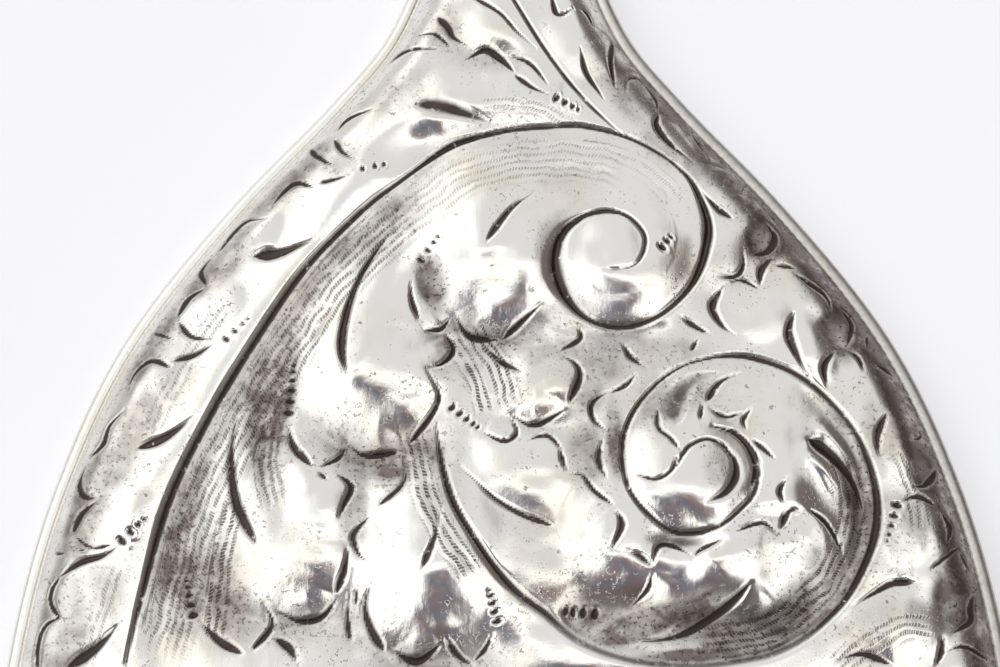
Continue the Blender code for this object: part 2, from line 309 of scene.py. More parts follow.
def leaf_end(sheet, tip, heading, ahead=14.0, rise=1.45, drop=1.05, recover=4.0, radius=36.0):
    """A rounded leaf end: a cap that falls away to its tip, in a valley that comes back up further off.

    The cap has this radius across, and stands highest, by rise, at the distance ahead from its tip.
    The valley goes down by drop, and comes back up over the distance recover.
    """
    reach = 3.0 * ahead
    block = sheet.block((tip[0] - reach, tip[1] - reach), (tip[0] + reach, tip[1] + reach))
    dx, dy = sheet.x[block] - tip[0], sheet.y[block] - tip[1]
    c, s = math.cos(math.radians(heading)), math.sin(math.radians(heading))
    forth, across = dx * c + dy * s, dy * c - dx * s
    past_crest = np.maximum(1 + forth / ahead, 0)
    behind_crest = np.maximum(-forth - ahead, 0)
    cap = rise * np.exp(-((behind_crest / (1.2 * ahead)) ** 2)) - (rise + drop) * past_crest**2
    cap -= across**2 / (2 * radius) + 0.04 * behind_crest**2 / (behind_crest + 8.0)
    valley = -drop * np.exp(-((forth / recover) ** 2) - (across / (2.5 * recover)) ** 2)
    joined = 0.5 * (cap + valley + np.sqrt((cap - valley) ** 2 + CAP_FILLET**2))
    sheet.relief[block] += joined * fade(-np.hypot(dx, dy), -reach, -0.5 * reach)


def oval(sheet, centre, radii, angle):
    """The block round an oval, with each point's distance from its centre as a share of the radius there."""
    cx, cy = centre
    reach = 1.6 * max(radii)
    block = sheet.block((cx - reach, cy - reach), (cx + reach, cy + reach))
    dx, dy = sheet.x[block] - cx, sheet.y[block] - cy
    c, s = math.cos(math.radians(angle)), math.sin(math.radians(angle))
    return block, np.hypot((dx * c + dy * s) / radii[0], (dy * c - dx * s) / radii[1])


def film(sheet, centre, radii, amount, angle=0.0):
    """A patch of brown film on the silver: tarnish in some places and painted shade in others."""
    block, r = oval(sheet, centre, radii, angle)
    sheet.shade[block] = np.maximum(sheet.shade[block], amount * fade(-r, -1.35, -0.5))


def painted_highlight_patch(sheet, centre, radii, amount):
    """A patch painted brighter than its depth would leave it, by taking film away: a painted highlight."""
    block, r = oval(sheet, centre, radii, 0.0)
    sheet.shade[block] -= amount * fade(-r, -1.35, -0.5)


def dome(sheet, centre, radii, height, angle=0.0):
    """A boss raised from behind, or a hollow where height is negative."""
    block, r = oval(sheet, centre, radii, angle)
    inside = 1 - r**2
    bowl = 0.5 * (inside + np.sqrt(inside**2 + DOME_FILLET**2))
    sheet.relief[block] += height * bowl * fade(-r, -1.55, -1.0)


def ridge(sheet, points, width, height):
    """A rounded fold that stands up along a line, or a furrow where height is negative."""
    whole, distance, _, place, length = near(sheet, points, 2.5 * width)
    t = place / length
    share = np.sin(math.pi * np.clip(t, 0.03, 0.97)) ** 0.5
    sheet.relief[whole] += height * share * np.exp(-((distance / width) ** 2))


def punch_row(sheet, start, end, count, first=0.72, last=0.34):
    """A row of oval punch marks, set across the row, that get smaller."""
    ux, uy = (end[0] - start[0]), (end[1] - start[1])
    length = math.hypot(ux, uy)
    ux, uy = ux / length, uy / length
    for i in range(count):
        t = i / (count - 1)
        # The larger marks also stand further apart.
        place = 1 - (1 - t) ** 1.25
        x = start[0] + (end[0] - start[0]) * place
        y = start[1] + (end[1] - start[1]) * place
        radius = first + (last - first) * t
        block = sheet.block((x - 1.5, y - 1.5), (x + 1.5, y + 1.5))
        dx, dy = sheet.x[block] - x, sheet.y[block] - y
        r = np.hypot((dx * ux + dy * uy) / 0.78, (dy * ux - dx * uy) / 1.25) / radius
        mark = np.exp(-((r / 0.8) ** 4))
        sheet.relief[block] += 0.05 * np.exp(-(((r - 1.3) / 0.3) ** 2)) - 0.5 * radius * mark
        sheet.groove[block] = np.maximum(sheet.groove[block], mark)


def hatch(sheet, guide, side, band, reach=(0.0, 1.0), folds=0.0, fold_spacing=3.0, strength=1.0):
    """Fine tool lines in a band beside a guide line, on its left (1) or right (-1), over soft folds."""
    near_edge, far_edge = band
    start, stop = reach
    whole, distance, which, place, length = near(sheet, guide, far_edge + 1.5)
    t = place / length
    on_side = np.where(which * side > 0, 1.0, 0.0)
    inside = fade(distance, near_edge, near_edge + 0.6) * fade(-distance, -far_edge - 1.0, -far_edge + 0.6)
    ends = fade(t, start - 0.001, start + 0.08) * fade(-t, -stop - 0.001, -stop + 0.08)
    amount = on_side * inside * ends
    sheet.relief[whole] += folds * amount * np.cos(2 * math.pi * (distance - near_edge) / fold_spacing)
    amount = strength * amount
    stronger = amount > sheet.line_amount[whole]
    sheet.line_u[whole][stronger] = distance[stronger]
    sheet.line_v[whole][stronger] = place[stronger]
    sheet.line_amount[whole][stronger] = amount[stronger]


# ---------------------------------------------------------------- the ornament, motif by motif

SCROLL_A = (
    (-51.2, -50.9), (-49.4, -41.9), (-46.1, -28.5), (-40.6, -16), (-34.2, -4.5), (-28, 5.1),
    (-20.5, 13.3), (-15.2, 17.8), (-8.8, 22.7), (-4.5, 24.4), (0.3, 25.5), (5.5, 26), (9.5, 26.2),
    (13.3, 25.6), (16.5, 24.7), (19.8, 23.1), (23, 20.9), (25.5, 18.3), (27.1, 15.1), (28.1, 11.3),
    (27.5, 7.1), (26.1, 3.3), (23.8, 0.2), (20.6, -2.4), (16.8, -3.7), (12.9, -3.5), (10.1, -2),
    (7.9, 0.7), (6.6, 4.1), (6.7, 7.6), (8, 10.4), (10.6, 12.5), (13.8, 13.2), (16.6, 12.5),
    (18.6, 10.5), (19.2, 8.5), (18.5, 6), (16.9, 4.6), (14, 4.1),
)
SCROLL_B = (
    (-9.9, -18.1), (-9, -23.9), (-7.5, -29.1), (-5.2, -33.3), (-2.1, -37.9), (1.4, -41.8),
    (4.9, -44.4), (9.9, -48.5), (16.7, -50.9), (25, -51.6), (32.6, -50.6), (36.6, -49.4),
    (40.6, -47), (44.8, -43.1), (47.5, -38.9), (49.5, -34.1), (50.2, -29.3), (49.6, -24.3),
    (47.9, -19.5), (44.9, -15.2), (41.2, -11.6), (37.2, -9.4), (32.5, -8.1), (28.6, -8.2),
    (24.8, -9.2), (21, -11.6), (17.7, -15.3), (15.8, -19.6), (15.6, -23.9), (16.6, -27.8),
    (19.1, -31), (22.1, -33.1), (25.5, -33.5), (28.7, -32.5), (31.5, -30.2), (33.5, -27.6),
    (33.9, -24.4), (33, -21.7), (31.2, -19.5), (27.9, -18.2),
)


def scroll_a(sheet):
    """The large scroll: a long stem line up the left side that rolls into a ring at the right."""
    chase(sheet, SCROLL_A[0:7], 2, 0.34, banks=(0.2, 0), reach=3.5, tone=0.66)
    chase(sheet, SCROLL_A[0:10], 1.3, 0.34, banks=(0.2, 0), reach=3.5, tone=0.72)
    chase(sheet, SCROLL_A[8:18], 0.75, 0.3, banks=(0.2, 0), reach=3.5, tone=0.72)
    chase(sheet, SCROLL_A[16:], 0.95, 0.4, banks=(0.2, 0), reach=2.5, tone=0.85)
    # The sheet falls away inside the stem, with light painted shade beside the line
    falling_side(sheet, SCROLL_A[0:9], -1, 0.75, fall=1.3, rise=5, shade=0.3)
    ridge(sheet, [(-55.5, -50), (-52, -36), (-46, -21), (-36, -3), (-25, 11.5), (-15, 21)], 2.6, 0.45)
    chase(sheet, SCROLL_A[16:23], 2, 0.4, peak=0.55)
    chase(sheet, SCROLL_A[25:32], 3.4, 0.5, peak=0.5, tone=0.72)
    chase(sheet, SCROLL_A[7:11], 1.5, 0.3, peak=0.5)
    # The foot of the ring falls away to the line, and the whorl inside it is lower
    leaf_end(sheet, (17, -4.6), -90, 9.5, 1.1, 1, recover=1.5, radius=34)
    dome(sheet, (12.8, 8.2), (5.6, 5.2), 0.25)
    ridge(sheet, [(4.5, -1.5), (2.6, 4), (4.4, 11), (11, 15.8)], 2.6, 0.26)


def scroll_b(sheet):
    """The round scroll at the right, with a whorl at its centre."""
    work(sheet, chase, (
        ([(27.9, -18.2), (31.2, -19.6), (33, -21.8), (33.6, -24.6), (32.6, -28)], 1.2, 0.3, 0.6),
        ([(17.6, -25.4), (20.1, -26.1), (22.2, -24.8), (22.9, -22.8)], 0.7, 0.35),
        ([(22.9, -24.4), (23.6, -22.8), (24.9, -21.2), (27.1, -20.3), (29.3, -21.1), (30.6, -23.1)],
         0.8, 0.35),
        ([(29.3, -21.1), (30.8, -23.1), (30.9, -25.7), (29.4, -28), (26.9, -29.3)], 1.8, 0.45, 0.5),
        ([(20.4, -15.9), (20.5, -18.6), (22.1, -20.2), (23.3, -21.9)], 0.8, 0.35),
        ([(32.1, -10.6), (29.2, -11.8), (27.3, -14.6)], 1.2, 0.35, 0.85),
        ([(26.7, -14.8), (26.3, -17.5)], 0.7, 0.3, 0.6),
        # The crown of small leaf points over the whorl
        ([(27.6, -15.7), (29.7, -16.9), (32, -16.3)], 0.8, 0.35, 0.4),
        ([(33.4, -15.4), (32.2, -17.4), (32.6, -18.7)], 0.8, 0.35, 0.5),
        ([(33.1, -20), (34.7, -21.4), (36.4, -23.2)], 1, 0.4, 0.4),
        ([(27.6, -18.4), (31, -19), (33.8, -22.4), (34.4, -25.5)], 0.8, 0.3, 0.5),
    ))
    chase(sheet, SCROLL_B[0:16], 1.45, 0.42, banks=(-0.05, 0.1), reach=2, tone=0.7)
    chase(sheet, SCROLL_B[14:25], 1, 0.42, banks=(-0.05, 0.15), reach=2, tone=0.8)
    chase(sheet, SCROLL_B[23:], 0.75, 0.42, banks=(0, 0.1), reach=2, tone=0.9)
    chase(sheet, SCROLL_B[11:19], 1.9, 0.4, peak=0.6)
    chase(sheet, SCROLL_B[0:6], 1.3, 0.25, peak=0.35)
    chase(sheet, [(28.9, -10.5), (24.9, -12.1), (22.8, -15.3), (22.9, -18)], 4.6, 0.55, peak=0.8, tone=0.5)
    leaf_end(sheet, (24.2, -34.4), -91, 9, 1.6, 1.3, recover=1.5, radius=24)
    # The sheet falls away inside the outer line, with strong painted shade beside it
    falling_side(sheet, SCROLL_B[9:22], 1, 0.65, fall=1.1, rise=3.5, shade=0.95)
    falling_side(sheet, SCROLL_B[6:14], 1, 0.8, fall=1, rise=5)


def scroll_b_leaf(sheet):
    """The leaf that turns inside the lower right of the round scroll."""
    work(sheet, chase, (
        ([(48.4, -30), (46.7, -25.7), (44.4, -22.6), (41, -19.9)], 2.6, 0.7, 0.85, (0.3, -0.2)),
        ([(45.3, -37.7), (44.8, -35.4), (43, -32), (40.6, -30)], 1.2, 0.5, 0.75, (0.25, 0)),
        ([(39.8, -30.2), (38, -30.5), (36.8, -33.1)], 1.1, 0.45, 0.6, (0.2, 0)),
        ([(38, -25.6), (36.9, -27.6), (37.4, -29.4)], 1, 0.4, 0.6),
        ([(36.6, -33.8), (34.3, -32.2), (30.6, -33.5)], 0.9, 0.4, 0.5, (0.25, 0)),
        ([(29.2, -34.3), (25.8, -36), (25, -37.2)], 0.9, 0.4, 0.6, (0.25, 0)),
        ([(25, -37.1), (22.4, -35.3), (20.3, -35.4), (19.3, -38)], 1, 0.45, 0.6, (0.25, 0)),
        ([(15.9, -36), (17.7, -36.8), (19.2, -38.1)], 1, 0.4, 0.6),
        ([(16.6, -43.4), (18.7, -41.2), (19.3, -39.2)], 1, 0.4, 0.6),
        # A sharp fold along the foot of the scroll, with a dark furrow above it
        ([(16.3, -48.4), (22.2, -47.6), (26.8, -45.2), (30.3, -42.7), (32.7, -40.2)], 1.7, 0.52, 0.75),
    ))
    work(sheet, leaf_end, (
        ((34.5, -45.5), -89, 10, 1.3, 1.3, 2, 50),
        ((26.5, -46.5), -85, 8, 0.9, 1.1, 2, 45),
        ((14.5, -43.6), -90, 9.5, 1, 0.8, 2.5, 30),
        ((38.5, -30.5), -80, 7, 0.5, 0.5, 2, 25),
    ))
    work(sheet, ridge, (
        ([(20.5, -49.6), (26.6, -48.2), (31.3, -45.8), (35.2, -42)], 1.5, 0.6),
        ([(40.5, -21.8), (43.5, -24.8), (45.6, -28.5), (46.3, -33), (44.5, -39)], 0.9, 0.45),
        ([(42.5, -17.6), (45.8, -21.6), (47.9, -26)], 0.8, 0.4),
        ([(35, -29), (40, -30), (43, -34), (42.5, -40)], 1.6, 0.45),
    ))


def bosses(sheet):
    """The round leaf ends that stand highest."""
    work(sheet, leaf_end, (
        ((-18.8, -22.2), -90, 14, 1.45, 1.05, 4, 45),
        ((-2.4, -6.2), -90, 14, 1.55, 1.2, 4, 50),
        ((-29, -45.4), -90, 11.5, 1.2, 0.9),
        ((-10.4, -50.6), -90),
        ((4.3, -18.4), -90, 6.5, 0.5, 0.5, 2.5, 25),
    ))
    work(sheet, dome, (
        ((-25, -27), (5.5, 6.5), 0.5),
        ((3, -24), (8, 6.5), 0.6, -35),
        ((-10.5, 2.8), (2.4, 4.2), -0.6, 15),
    ))


def leaf_edges_left(sheet):
    """Scalloped edges and cuts around the bosses of the left half."""
    work(sheet, chase, (
        ([(-13.5, 3.6), (-13.4, 0.2), (-12.3, -3.1)], 1, 0.4, 0.7),
        ([(-8, -2.4), (-9.3, -4.1), (-11.4, -4.5)], 1, 0.42, 0.6, (0, 0.3)),
        ([(-7.5, -2.1), (-5.4, -5), (-1.5, -5.6)], 1.2, 0.5, 0.6, (0.4, -0.1)),
        ([(4.8, -0.4), (1.6, -3.3), (-0.8, -5.5)], 1.2, 0.5, 0.7, (0, 0.4)),
        ([(-11.3, -10), (-9, -9.2), (-7.6, -7.1), (-8.6, -5)], 1, 0.42, 0.6, (0.3, 0)),
        ([(-11.2, -10.2), (-9.5, -13.8), (-10.6, -16.8), (-13.6, -20.7)], 1.1, 0.5, 0.75, (0, 0.45)),
        ([(-22.2, -20.2), (-19.7, -22.2), (-15, -21.8)], 1, 0.5, 0.7, (0.45, 0)),
        ([(-22.2, -20.2), (-22.9, -22.3), (-25.4, -24)], 0.8, 0.4, 0.6, (0, 0.3)),
        ([(-30.3, -17.6), (-29.4, -20.9), (-26.8, -24)], 1.6, 0.55, 0.7, (0.3, 0)),
        ([(-26, -24.6), (-24.7, -26.1)], 0.9, 0.3, 0.6),
        ([(-23.7, -24.8), (-21.4, -26.8), (-22.3, -29.6), (-23.1, -31.6)], 1.3, 0.45, 0.4, (0, 0.25)),
        ([(-14, -23.6), (-14.4, -26.6), (-17.6, -29.6)], 1, 0.4, 0.75, (0, 0.35)),
        ([(-18.4, -37.8), (-20.2, -36.4), (-20.9, -33.7), (-19, -31.3)], 1, 0.4, 0.6, (-0.1, 0.25)),
        ([(-21.8, -34.8), (-21.9, -37.8), (-23.2, -41.7)], 1.3, 0.45, 0.75, (0, 0.35)),
        ([(-31, -44.2), (-27.9, -45.4), (-25.1, -44.8), (-23.3, -42.6)], 1.1, 0.5, 0.55, (0.45, 0)),
        ([(-33, -43), (-31.8, -45.9), (-34.4, -49.5)], 1.1, 0.45, 0.7, (0, 0.2)),
        ([(-41.7, -45.2), (-38.6, -48.2), (-35.6, -49.9)], 1.8, 0.6, 0.7, (0.3, 0)),
        ([(-28.2, -51.4), (-29.4, -49.1), (-31.3, -47.7)], 1.8, 0.55, 0.6),
        ([(-21.2, -40.9), (-21.7, -43.8), (-21.2, -48.3)], 0.9, 0.45, 0.8),
        ([(-20.2, -40.6), (-20.6, -43.2)], 0.6, 0.3, 0.6),
        ([(-18.2, -39.6), (-19.3, -43.2), (-18.6, -46.2), (-16.6, -49.6)], 1.5, 0.45, 0.8, (0.35, 0)),
        ([(-15.4, -49.6), (-12.2, -50.8), (-9.1, -48.6)], 1.5, 0.5, 0.4, (0.4, 0)),
        ([(-8.5, -47.4), (-7, -49.8), (-5, -51.4)], 1.2, 0.45, 0.4, (0.3, 0)),
        ([(-2.1, -47), (-3.1, -49.2), (-4.5, -50.8)], 0.9, 0.4, 0.6),
        ([(-9.3, -30.6), (-10, -34.4), (-11.6, -38.6)], 1.2, 0.45, 0.8),
    ))


def leaf_edges_middle(sheet):
    """The small leaves between the two scrolls."""
    work(sheet, chase, (
        ([(3.9, 16.2), (0.3, 13.1), (-3.1, 8.2)], 1.3, 0.35, 0.75),
        ([(-2.8, -6.8), (-1, -8.8), (1.9, -10.5)], 1.3, 0.35, 0.5),
        ([(9.5, -3.6), (10, -5.4), (7.1, -7.4)], 1.1, 0.4, 0.5, (0, 0.3)),
        ([(6.9, -7.8), (9.3, -9.3), (9.8, -11.4), (8.3, -14.9)], 1.5, 0.45, 0.75, (0, 0.35)),
        ([(19.1, -9.8), (17, -8.4), (15.8, -6.2)], 1, 0.4, 0.6),
        ([(24, -2.3), (25.7, -3.6), (28, -5)], 1.1, 0.35, 0.35),
        ([(26.3, -5.4), (25.3, -7.4)], 0.7, 0.35, 0.7),
        ([(17.7, -10.6), (16.1, -12.4), (14, -13.5)], 0.9, 0.35, 0.5),
        ([(13.7, -13.3), (11.5, -15), (11.7, -17.3), (13.3, -18.9)], 1, 0.4, 0.4, (0, 0.2)),
        ([(12.9, -19.5), (12.3, -23), (13.2, -25.7)], 1, 0.4, 0.6),
        ([(7.7, -25.1), (10.1, -25.4), (11.7, -27.6), (14.1, -29.6)], 0.9, 0.45, 0.75, (0, 0.3)),
        ([(14.4, -30.2), (15.4, -32.4), (13.8, -36)], 1.2, 0.45, 0.4),
        ([(6.9, -21.2), (7.9, -24.8)], 0.8, 0.35, 0.5),
        ([(2.5, -20.4), (5.3, -19.6), (7.4, -21.8)], 0.9, 0.35, 0.5),
        ([(0.2, -16.6), (1.2, -19.2), (-0.6, -20.5), (-3.4, -19.2)], 0.9, 0.4, 0.6, (0, 0.25)),
        ([(0.8, -17), (3.6, -18.1), (7.7, -16)], 1, 0.4, 0.5, (0.35, 0)),
        ([(-6.9, -23.8), (-2.4, -28.1), (1.4, -30.6), (6, -32.4)], 1, 0.45, 0.85, (0.2, 0)),
    ))


def long_leaves(sheet):
    """The two tapering cuts inside the large scroll, and the folds between them."""
    upper = [(-15.8, 11.3), (-19.3, 6), (-21.5, 1), (-22.7, -4), (-22.9, -8), (-22.1, -11)]
    lower = [(-37.1, -14.8), (-37.9, -21.7), (-37, -29), (-34, -35.2)]
    chase(sheet, upper, 1.6, 0.6, peak=0.8, banks=(0.15, 0.15))
    chase(sheet, lower, 1.9, 0.6, peak=0.8, banks=(0.15, 0.1))
    work(sheet, ridge, (
        ([(-31, -8), (-33, -14), (-33.5, -22), (-31, -30)], 2.2, -0.45),
        ([(-24, 2), (-27, -4), (-29, -12), (-31, -18)], 1.6, -0.35),
        ([(-13.5, 14.5), (-17.5, 9.5), (-20, 3)], 1.5, -0.25),
        ([(-40.5, -30), (-40, -38), (-38, -45)], 2.2, -0.35),
        ([(-44, -33), (-45.5, -40), (-46.5, -50)], 1.6, -0.3),
    ))


def neck_leaves(sheet):
    """The stem down the neck and the leaves on both sides of it."""
    work(sheet, chase, (
        ([(4, 38.2), (1.2, 40.9), (-1.2, 43.6), (-5.5, 46.5)], 0.9, 0.4, 0.8),
        ([(-5.8, 38.8), (-7.8, 40.1), (-8.6, 41.6), (-10.1, 43.2)], 1.6, 0.4, 0.8),
        ([(-13.3, 40.5), (-10.6, 40.6), (-8.2, 38.6)], 0.8, 0.3, 0.6),
        ([(-18.2, 36), (-14.7, 38.2), (-10, 38.2)], 1, 0.35, 0.35),
        ([(-20.4, 31.6), (-20.7, 33.2), (-19, 35.4)], 0.9, 0.35, 0.5),
        ([(-6, 36.6), (-3.3, 38.1), (-1, 36.7), (0.9, 34.5)], 1.4, 0.45, 0.5, (0.3, 0)),
        ([(0.1, 37.1), (3.1, 35.9), (5.7, 32.5)], 0.9, 0.35, 0.4),
        ([(6.2, 30.7), (3.4, 32), (1, 34)], 1.2, 0.4, 0.75),
        ([(10, 44.8), (7.2, 43.4), (6.2, 46.5)], 1, 0.4, 0.6),
        ([(10, 44.7), (11.4, 43.8), (12.2, 41.9)], 0.8, 0.35, 0.5),
        ([(12.2, 42), (14.8, 40.6), (14.6, 36.5), (15.2, 32.3)], 1.3, 0.45, 0.5, (0, 0.3)),
        ([(10.4, 38.2), (11.1, 34.7), (13.6, 30.4)], 1, 0.4, 0.35),
        ([(16.7, 31.6), (17.2, 33.8), (19, 34.2), (21, 31.1), (21.2, 28.7)], 1, 0.4, 0.6),
        ([(26.2, 20.8), (23.1, 23.4), (21.1, 26.3), (21.4, 28.4)], 1.4, 0.5, 0.75),
        ([(28.3, 21.8), (26.6, 25.2), (25.7, 28.2)], 1, 0.4, 0.75),
    ))
    stem = [(-4, 54), (0.9, 45.7), (5.1, 38.4), (7.9, 34.2), (11.5, 29.6), (16.3, 24.8)]
    chase(sheet, stem, 0.7, 0.32, tone=0.7)
    punch_row(sheet, (6.9, 30.4), (10, 28.7), 4, 0.62, 0.36)
    leaf_end(sheet, (-3.5, 37.6), -110, 6.5, 0.5, 0.5, recover=2.5, radius=25)
    leaf_end(sheet, (12, 33.5), -70, 6.5, 0.4, 0.4, recover=2, radius=20)
    # The long shiny leaf over the scroll, with a lens-shaped hollow
    ridge(sheet, [(-29, 9.5), (-21, 20), (-11, 28), (0, 31), (9, 30)], 3.6, 0.95)
    chase(sheet, [(-2.4, 26.6), (-5, 27.6), (-9.5, 29), (-13.2, 29.4)], 3.4, 0.6, peak=0.72, tone=0.85)
    dome(sheet, (-15, 22.8), (6, 3.2), -0.45, angle=38)


def border_left(sheet):
    """Scalloped leaf ends and cuts along the left rim."""
    work(sheet, chase, (
        ([(-33.4, 14.2), (-31.4, 16.7), (-29.8, 17.7), (-27.4, 16.9)], 1.3, 0.5, 0.6, (-0.1, 0.25)),
        ([(-22, 18.6), (-24.4, 17.9), (-26.6, 17.5)], 0.9, 0.35, 0.75),
        ([(-33.8, 12.2), (-36.8, 12.3), (-38.8, 10.5), (-40.6, 7.8)], 1.3, 0.5, 0.6, (0.25, -0.1)),
        ([(-41.4, 7.4), (-43, 5), (-42, 2.4)], 1.3, 0.5, 0.6, (0.25, -0.1)),
        ([(-42, 2.1), (-44.4, 0.7), (-46, -2.1)], 1.5, 0.5, 0.6, (0.35, -0.1)),
        ([(-40.9, -5.5), (-43.9, -5.1), (-45.8, -2.9)], 1.1, 0.42, 0.7),
        ([(-46.2, -5.6), (-49.6, -4)], 0.9, 0.35, 0.6),
        ([(-52.6, -13.8), (-51.8, -10.5), (-49.4, -8.6), (-46.5, -9.7)], 1.3, 0.42, 0.8, (-0.1, 0.25)),
        ([(-40.6, -6.1), (-43.2, -7.8), (-46.4, -8.7)], 1.1, 0.4, 0.7),
        ([(-52.6, -15.5), (-54.9, -17.8), (-55.5, -20.3), (-57.4, -22.1)], 1.2, 0.5, 0.7, (0.35, -0.1)),
        ([(-57.8, -22.7), (-58.7, -25.8), (-57.9, -27.8), (-56.3, -28.3)], 1.4, 0.5, 0.7, (0.35, -0.1)),
        ([(-55.7, -28.5), (-58, -30.4), (-59.2, -33.2)], 1.5, 0.5, 0.65, (0.35, -0.1)),
        ([(-58.8, -33.6), (-56.4, -35.2), (-53.7, -34.8)], 0.6, 0.3),
        ([(-52.6, -34.9), (-55, -36.4), (-57.7, -37.2), (-60.8, -39.2)], 1.4, 0.5, 0.55, (0.3, 0)),
        ([(-60.8, -39.2), (-61.8, -41.1), (-61.6, -43), (-60.4, -44.8)], 0.9, 0.45, None, (0.35, -0.1)),
        ([(-60.4, -44.8), (-62.3, -45.8), (-63.2, -48), (-63.2, -52)], 0.9, 0.45, None, (0.35, -0.1)),
        ([(-52.3, -46), (-55.2, -49), (-59.2, -51.8)], 2.2, 0.6, 0.7),
        ([(-59.7, -36), (-61.8, -35.5)], 0.7, 0.3, 0.6),
        ([(-56.8, -35.8), (-59.2, -34.9)], 0.6, 0.3, 0.6),
        ([(-26.8, 9), (-31.8, 7.1), (-35.5, 6.7)], 2.3, 0.6, 0.8),
        ([(-21.2, 20.6), (-23.4, 22.2), (-24.7, 24.5)], 1.1, 0.42, 0.75),
        ([(-25.6, 20.4), (-27.2, 22), (-28.2, 23.8)], 1.3, 0.42, 0.7),
        ([(-24.4, 20), (-26, 21), (-26.8, 22.2)], 0.8, 0.3, 0.6),
        ([(-24.4, 25.8), (-22.7, 27.8), (-19.4, 28.9)], 1, 0.42, 0.4),
        ([(-43.1, -16.9), (-46.8, -19.7), (-50.8, -21.3)], 1.9, 0.6, 0.7),
    ))
    work(sheet, dome, (
        ((-40, -0.5), (4.2, 3.4), 0.5, 50),
        ((-49, -12), (4.4, 3.2), 0.3, 60),
        ((-53, -30), (4.6, 4), 0.5, 70),
        ((-57, -42), (4, 4.6), 0.35),
        ((-35, 9.8), (4, 3), 0.3, 50),
    ))
    work(sheet, punch_row, (
        ((-39, -5.7), (-36, -2.8), 4, 0.56, 0.32),
        ((-52.3, -34.4), (-49.4, -31.4), 4, 0.74, 0.4),
        ((-20.4, 19.4), (-17.4, 20.2), 3, 0.46, 0.36),
    ))


def border_right(sheet):
    """Scalloped leaf ends, dark pockets and cuts along the right rim."""
    work(sheet, chase, (
        ([(28.5, 20.7), (31.6, 20.3), (33.3, 18.4), (32.8, 16.3)], 0.9, 0.4, 0.5, (0, 0.3)),
        ([(32.7, 16.3), (35, 15.8), (36.9, 13.8), (38.4, 11.2)], 0.9, 0.4, 0.6, (0.1, 0.2)),
        ([(36.2, 12.2), (37.5, 9.9), (36.4, 7.6), (34, 6.9)], 1.6, 0.45, 0.5),
        ([(27.3, 16.3), (29.4, 13.9), (31.5, 12.3)], 1.2, 0.42, 0.65),
        ([(32.9, 7.8), (32.7, 4.9), (31.4, 3.6), (29, 3.6)], 1, 0.42, 0.5),
        ([(30.4, 2.6), (32.6, 3.1), (35, 1.8)], 0.7, 0.3, 0.5),
        ([(35, 2.2), (35.4, 4.8), (37.1, 6.8)], 1.5, 0.42, 0.5),
        ([(37, 5.5), (40.1, 5)], 0.9, 0.35, 0.5),
        ([(39.8, 4.3), (42.3, 2.6), (44.3, 1), (45, -1.3)], 1.1, 0.42, 0.4, (0.25, 0.1)),
        ([(31.5, -5.1), (29.7, -3.6), (28.4, -0.8), (29.7, 1.8)], 1.5, 0.45, 0.7),
        ([(41.6, -11.1), (40, -8.2), (38.9, -4.6), (39.7, -1.6)], 1.6, 0.5, 0.6),
        ([(44, -12.6), (43.6, -9.6), (45.1, -7.2)], 1.5, 0.45, 0.5),
        ([(46.8, -6.9), (48.4, -8.2), (49.1, -10)], 0.8, 0.35, 0.5),
        ([(46, -0.3), (47.8, -2.9), (46.8, -6.7)], 1.1, 0.4, 0.5, (0.25, 0)),
        ([(51.2, -2.2), (49.9, -5), (49.8, -6.7)], 1, 0.4, 0.5),
        ([(50.5, -8.8), (53, -9.8), (54.8, -11.6)], 1.2, 0.42, 0.4, (0.3, 0)),
        ([(54.8, -12.2), (55, -14.3), (56.5, -16.3), (56.9, -18.8), (55.4, -19.9)], 1, 0.4, 0.7),
        ([(50.8, -22.7), (50.6, -19.4), (52, -16)], 1.3, 0.48, 0.6),
        ([(59.3, -20.8), (58.5, -24.3), (56.8, -26.3), (55.2, -26.6)], 1.3, 0.45, 0.6),
        ([(53.4, -28.8), (55.8, -28), (58.4, -29.3)], 1.2, 0.42, 0.5),
        ([(58.8, -29.7), (60.1, -32.1), (59.5, -34.4)], 1.3, 0.42, 0.5, (0.25, 0.1)),
        ([(57.1, -38.1), (59.8, -36), (61.1, -34.8)], 0.7, 0.35),
        ([(61, -35), (62.4, -37.4), (63.6, -39.4)], 1.1, 0.42, 0.5, (0.25, 0.1)),
        ([(63.7, -39.8), (62.4, -43), (62.2, -45.2), (59.6, -47)], 1.6, 0.45, 0.5),
        ([(46.2, -43.5), (49.3, -41.5), (52, -40.1), (54.7, -40.1)], 1.4, 0.5, 0.8, (0.2, 0)),
        ([(57, -51.8), (58.1, -49.4), (58.2, -47.2)], 1.1, 0.42, 0.5),
        ([(44, -50.7), (47.4, -49.9), (51.2, -51.3)], 1.3, 0.45, 0.7),
        ([(58.5, -49.5), (61.2, -48.8), (64.8, -50.5)], 1, 0.4, 0.6),
    ))
    ridge(sheet, [(55.2, -11.6), (57.2, -14.6), (57.7, -18)], 0.5, 0.3)
    punch_row(sheet, (52.9, -29.3), (51.3, -34.3), 5, 0.7, 0.34)
    work(sheet, dome, (
        ((35.6, 9.6), (2.3, 3.2), -0.7),
        ((45.6, -3.8), (2.6, 3.2), -0.65),
        ((57, -24.2), (2, 2.8), -0.55),
        ((59.8, -42.6), (2.6, 4.6), -0.45),
        ((42, -7.5), (3, 5), 0.45, 25),
        ((30, 6.6), (3.6, 4.4), 0.4),
        ((53.5, -33), (3.4, 4.5), 0.3),
        ((53.5, -20.5), (2.6, 5), 0.35),
        ((35.5, -2), (4, 4), 0.3),
        ((53, -46.5), (5, 4), 0.5),
    ))


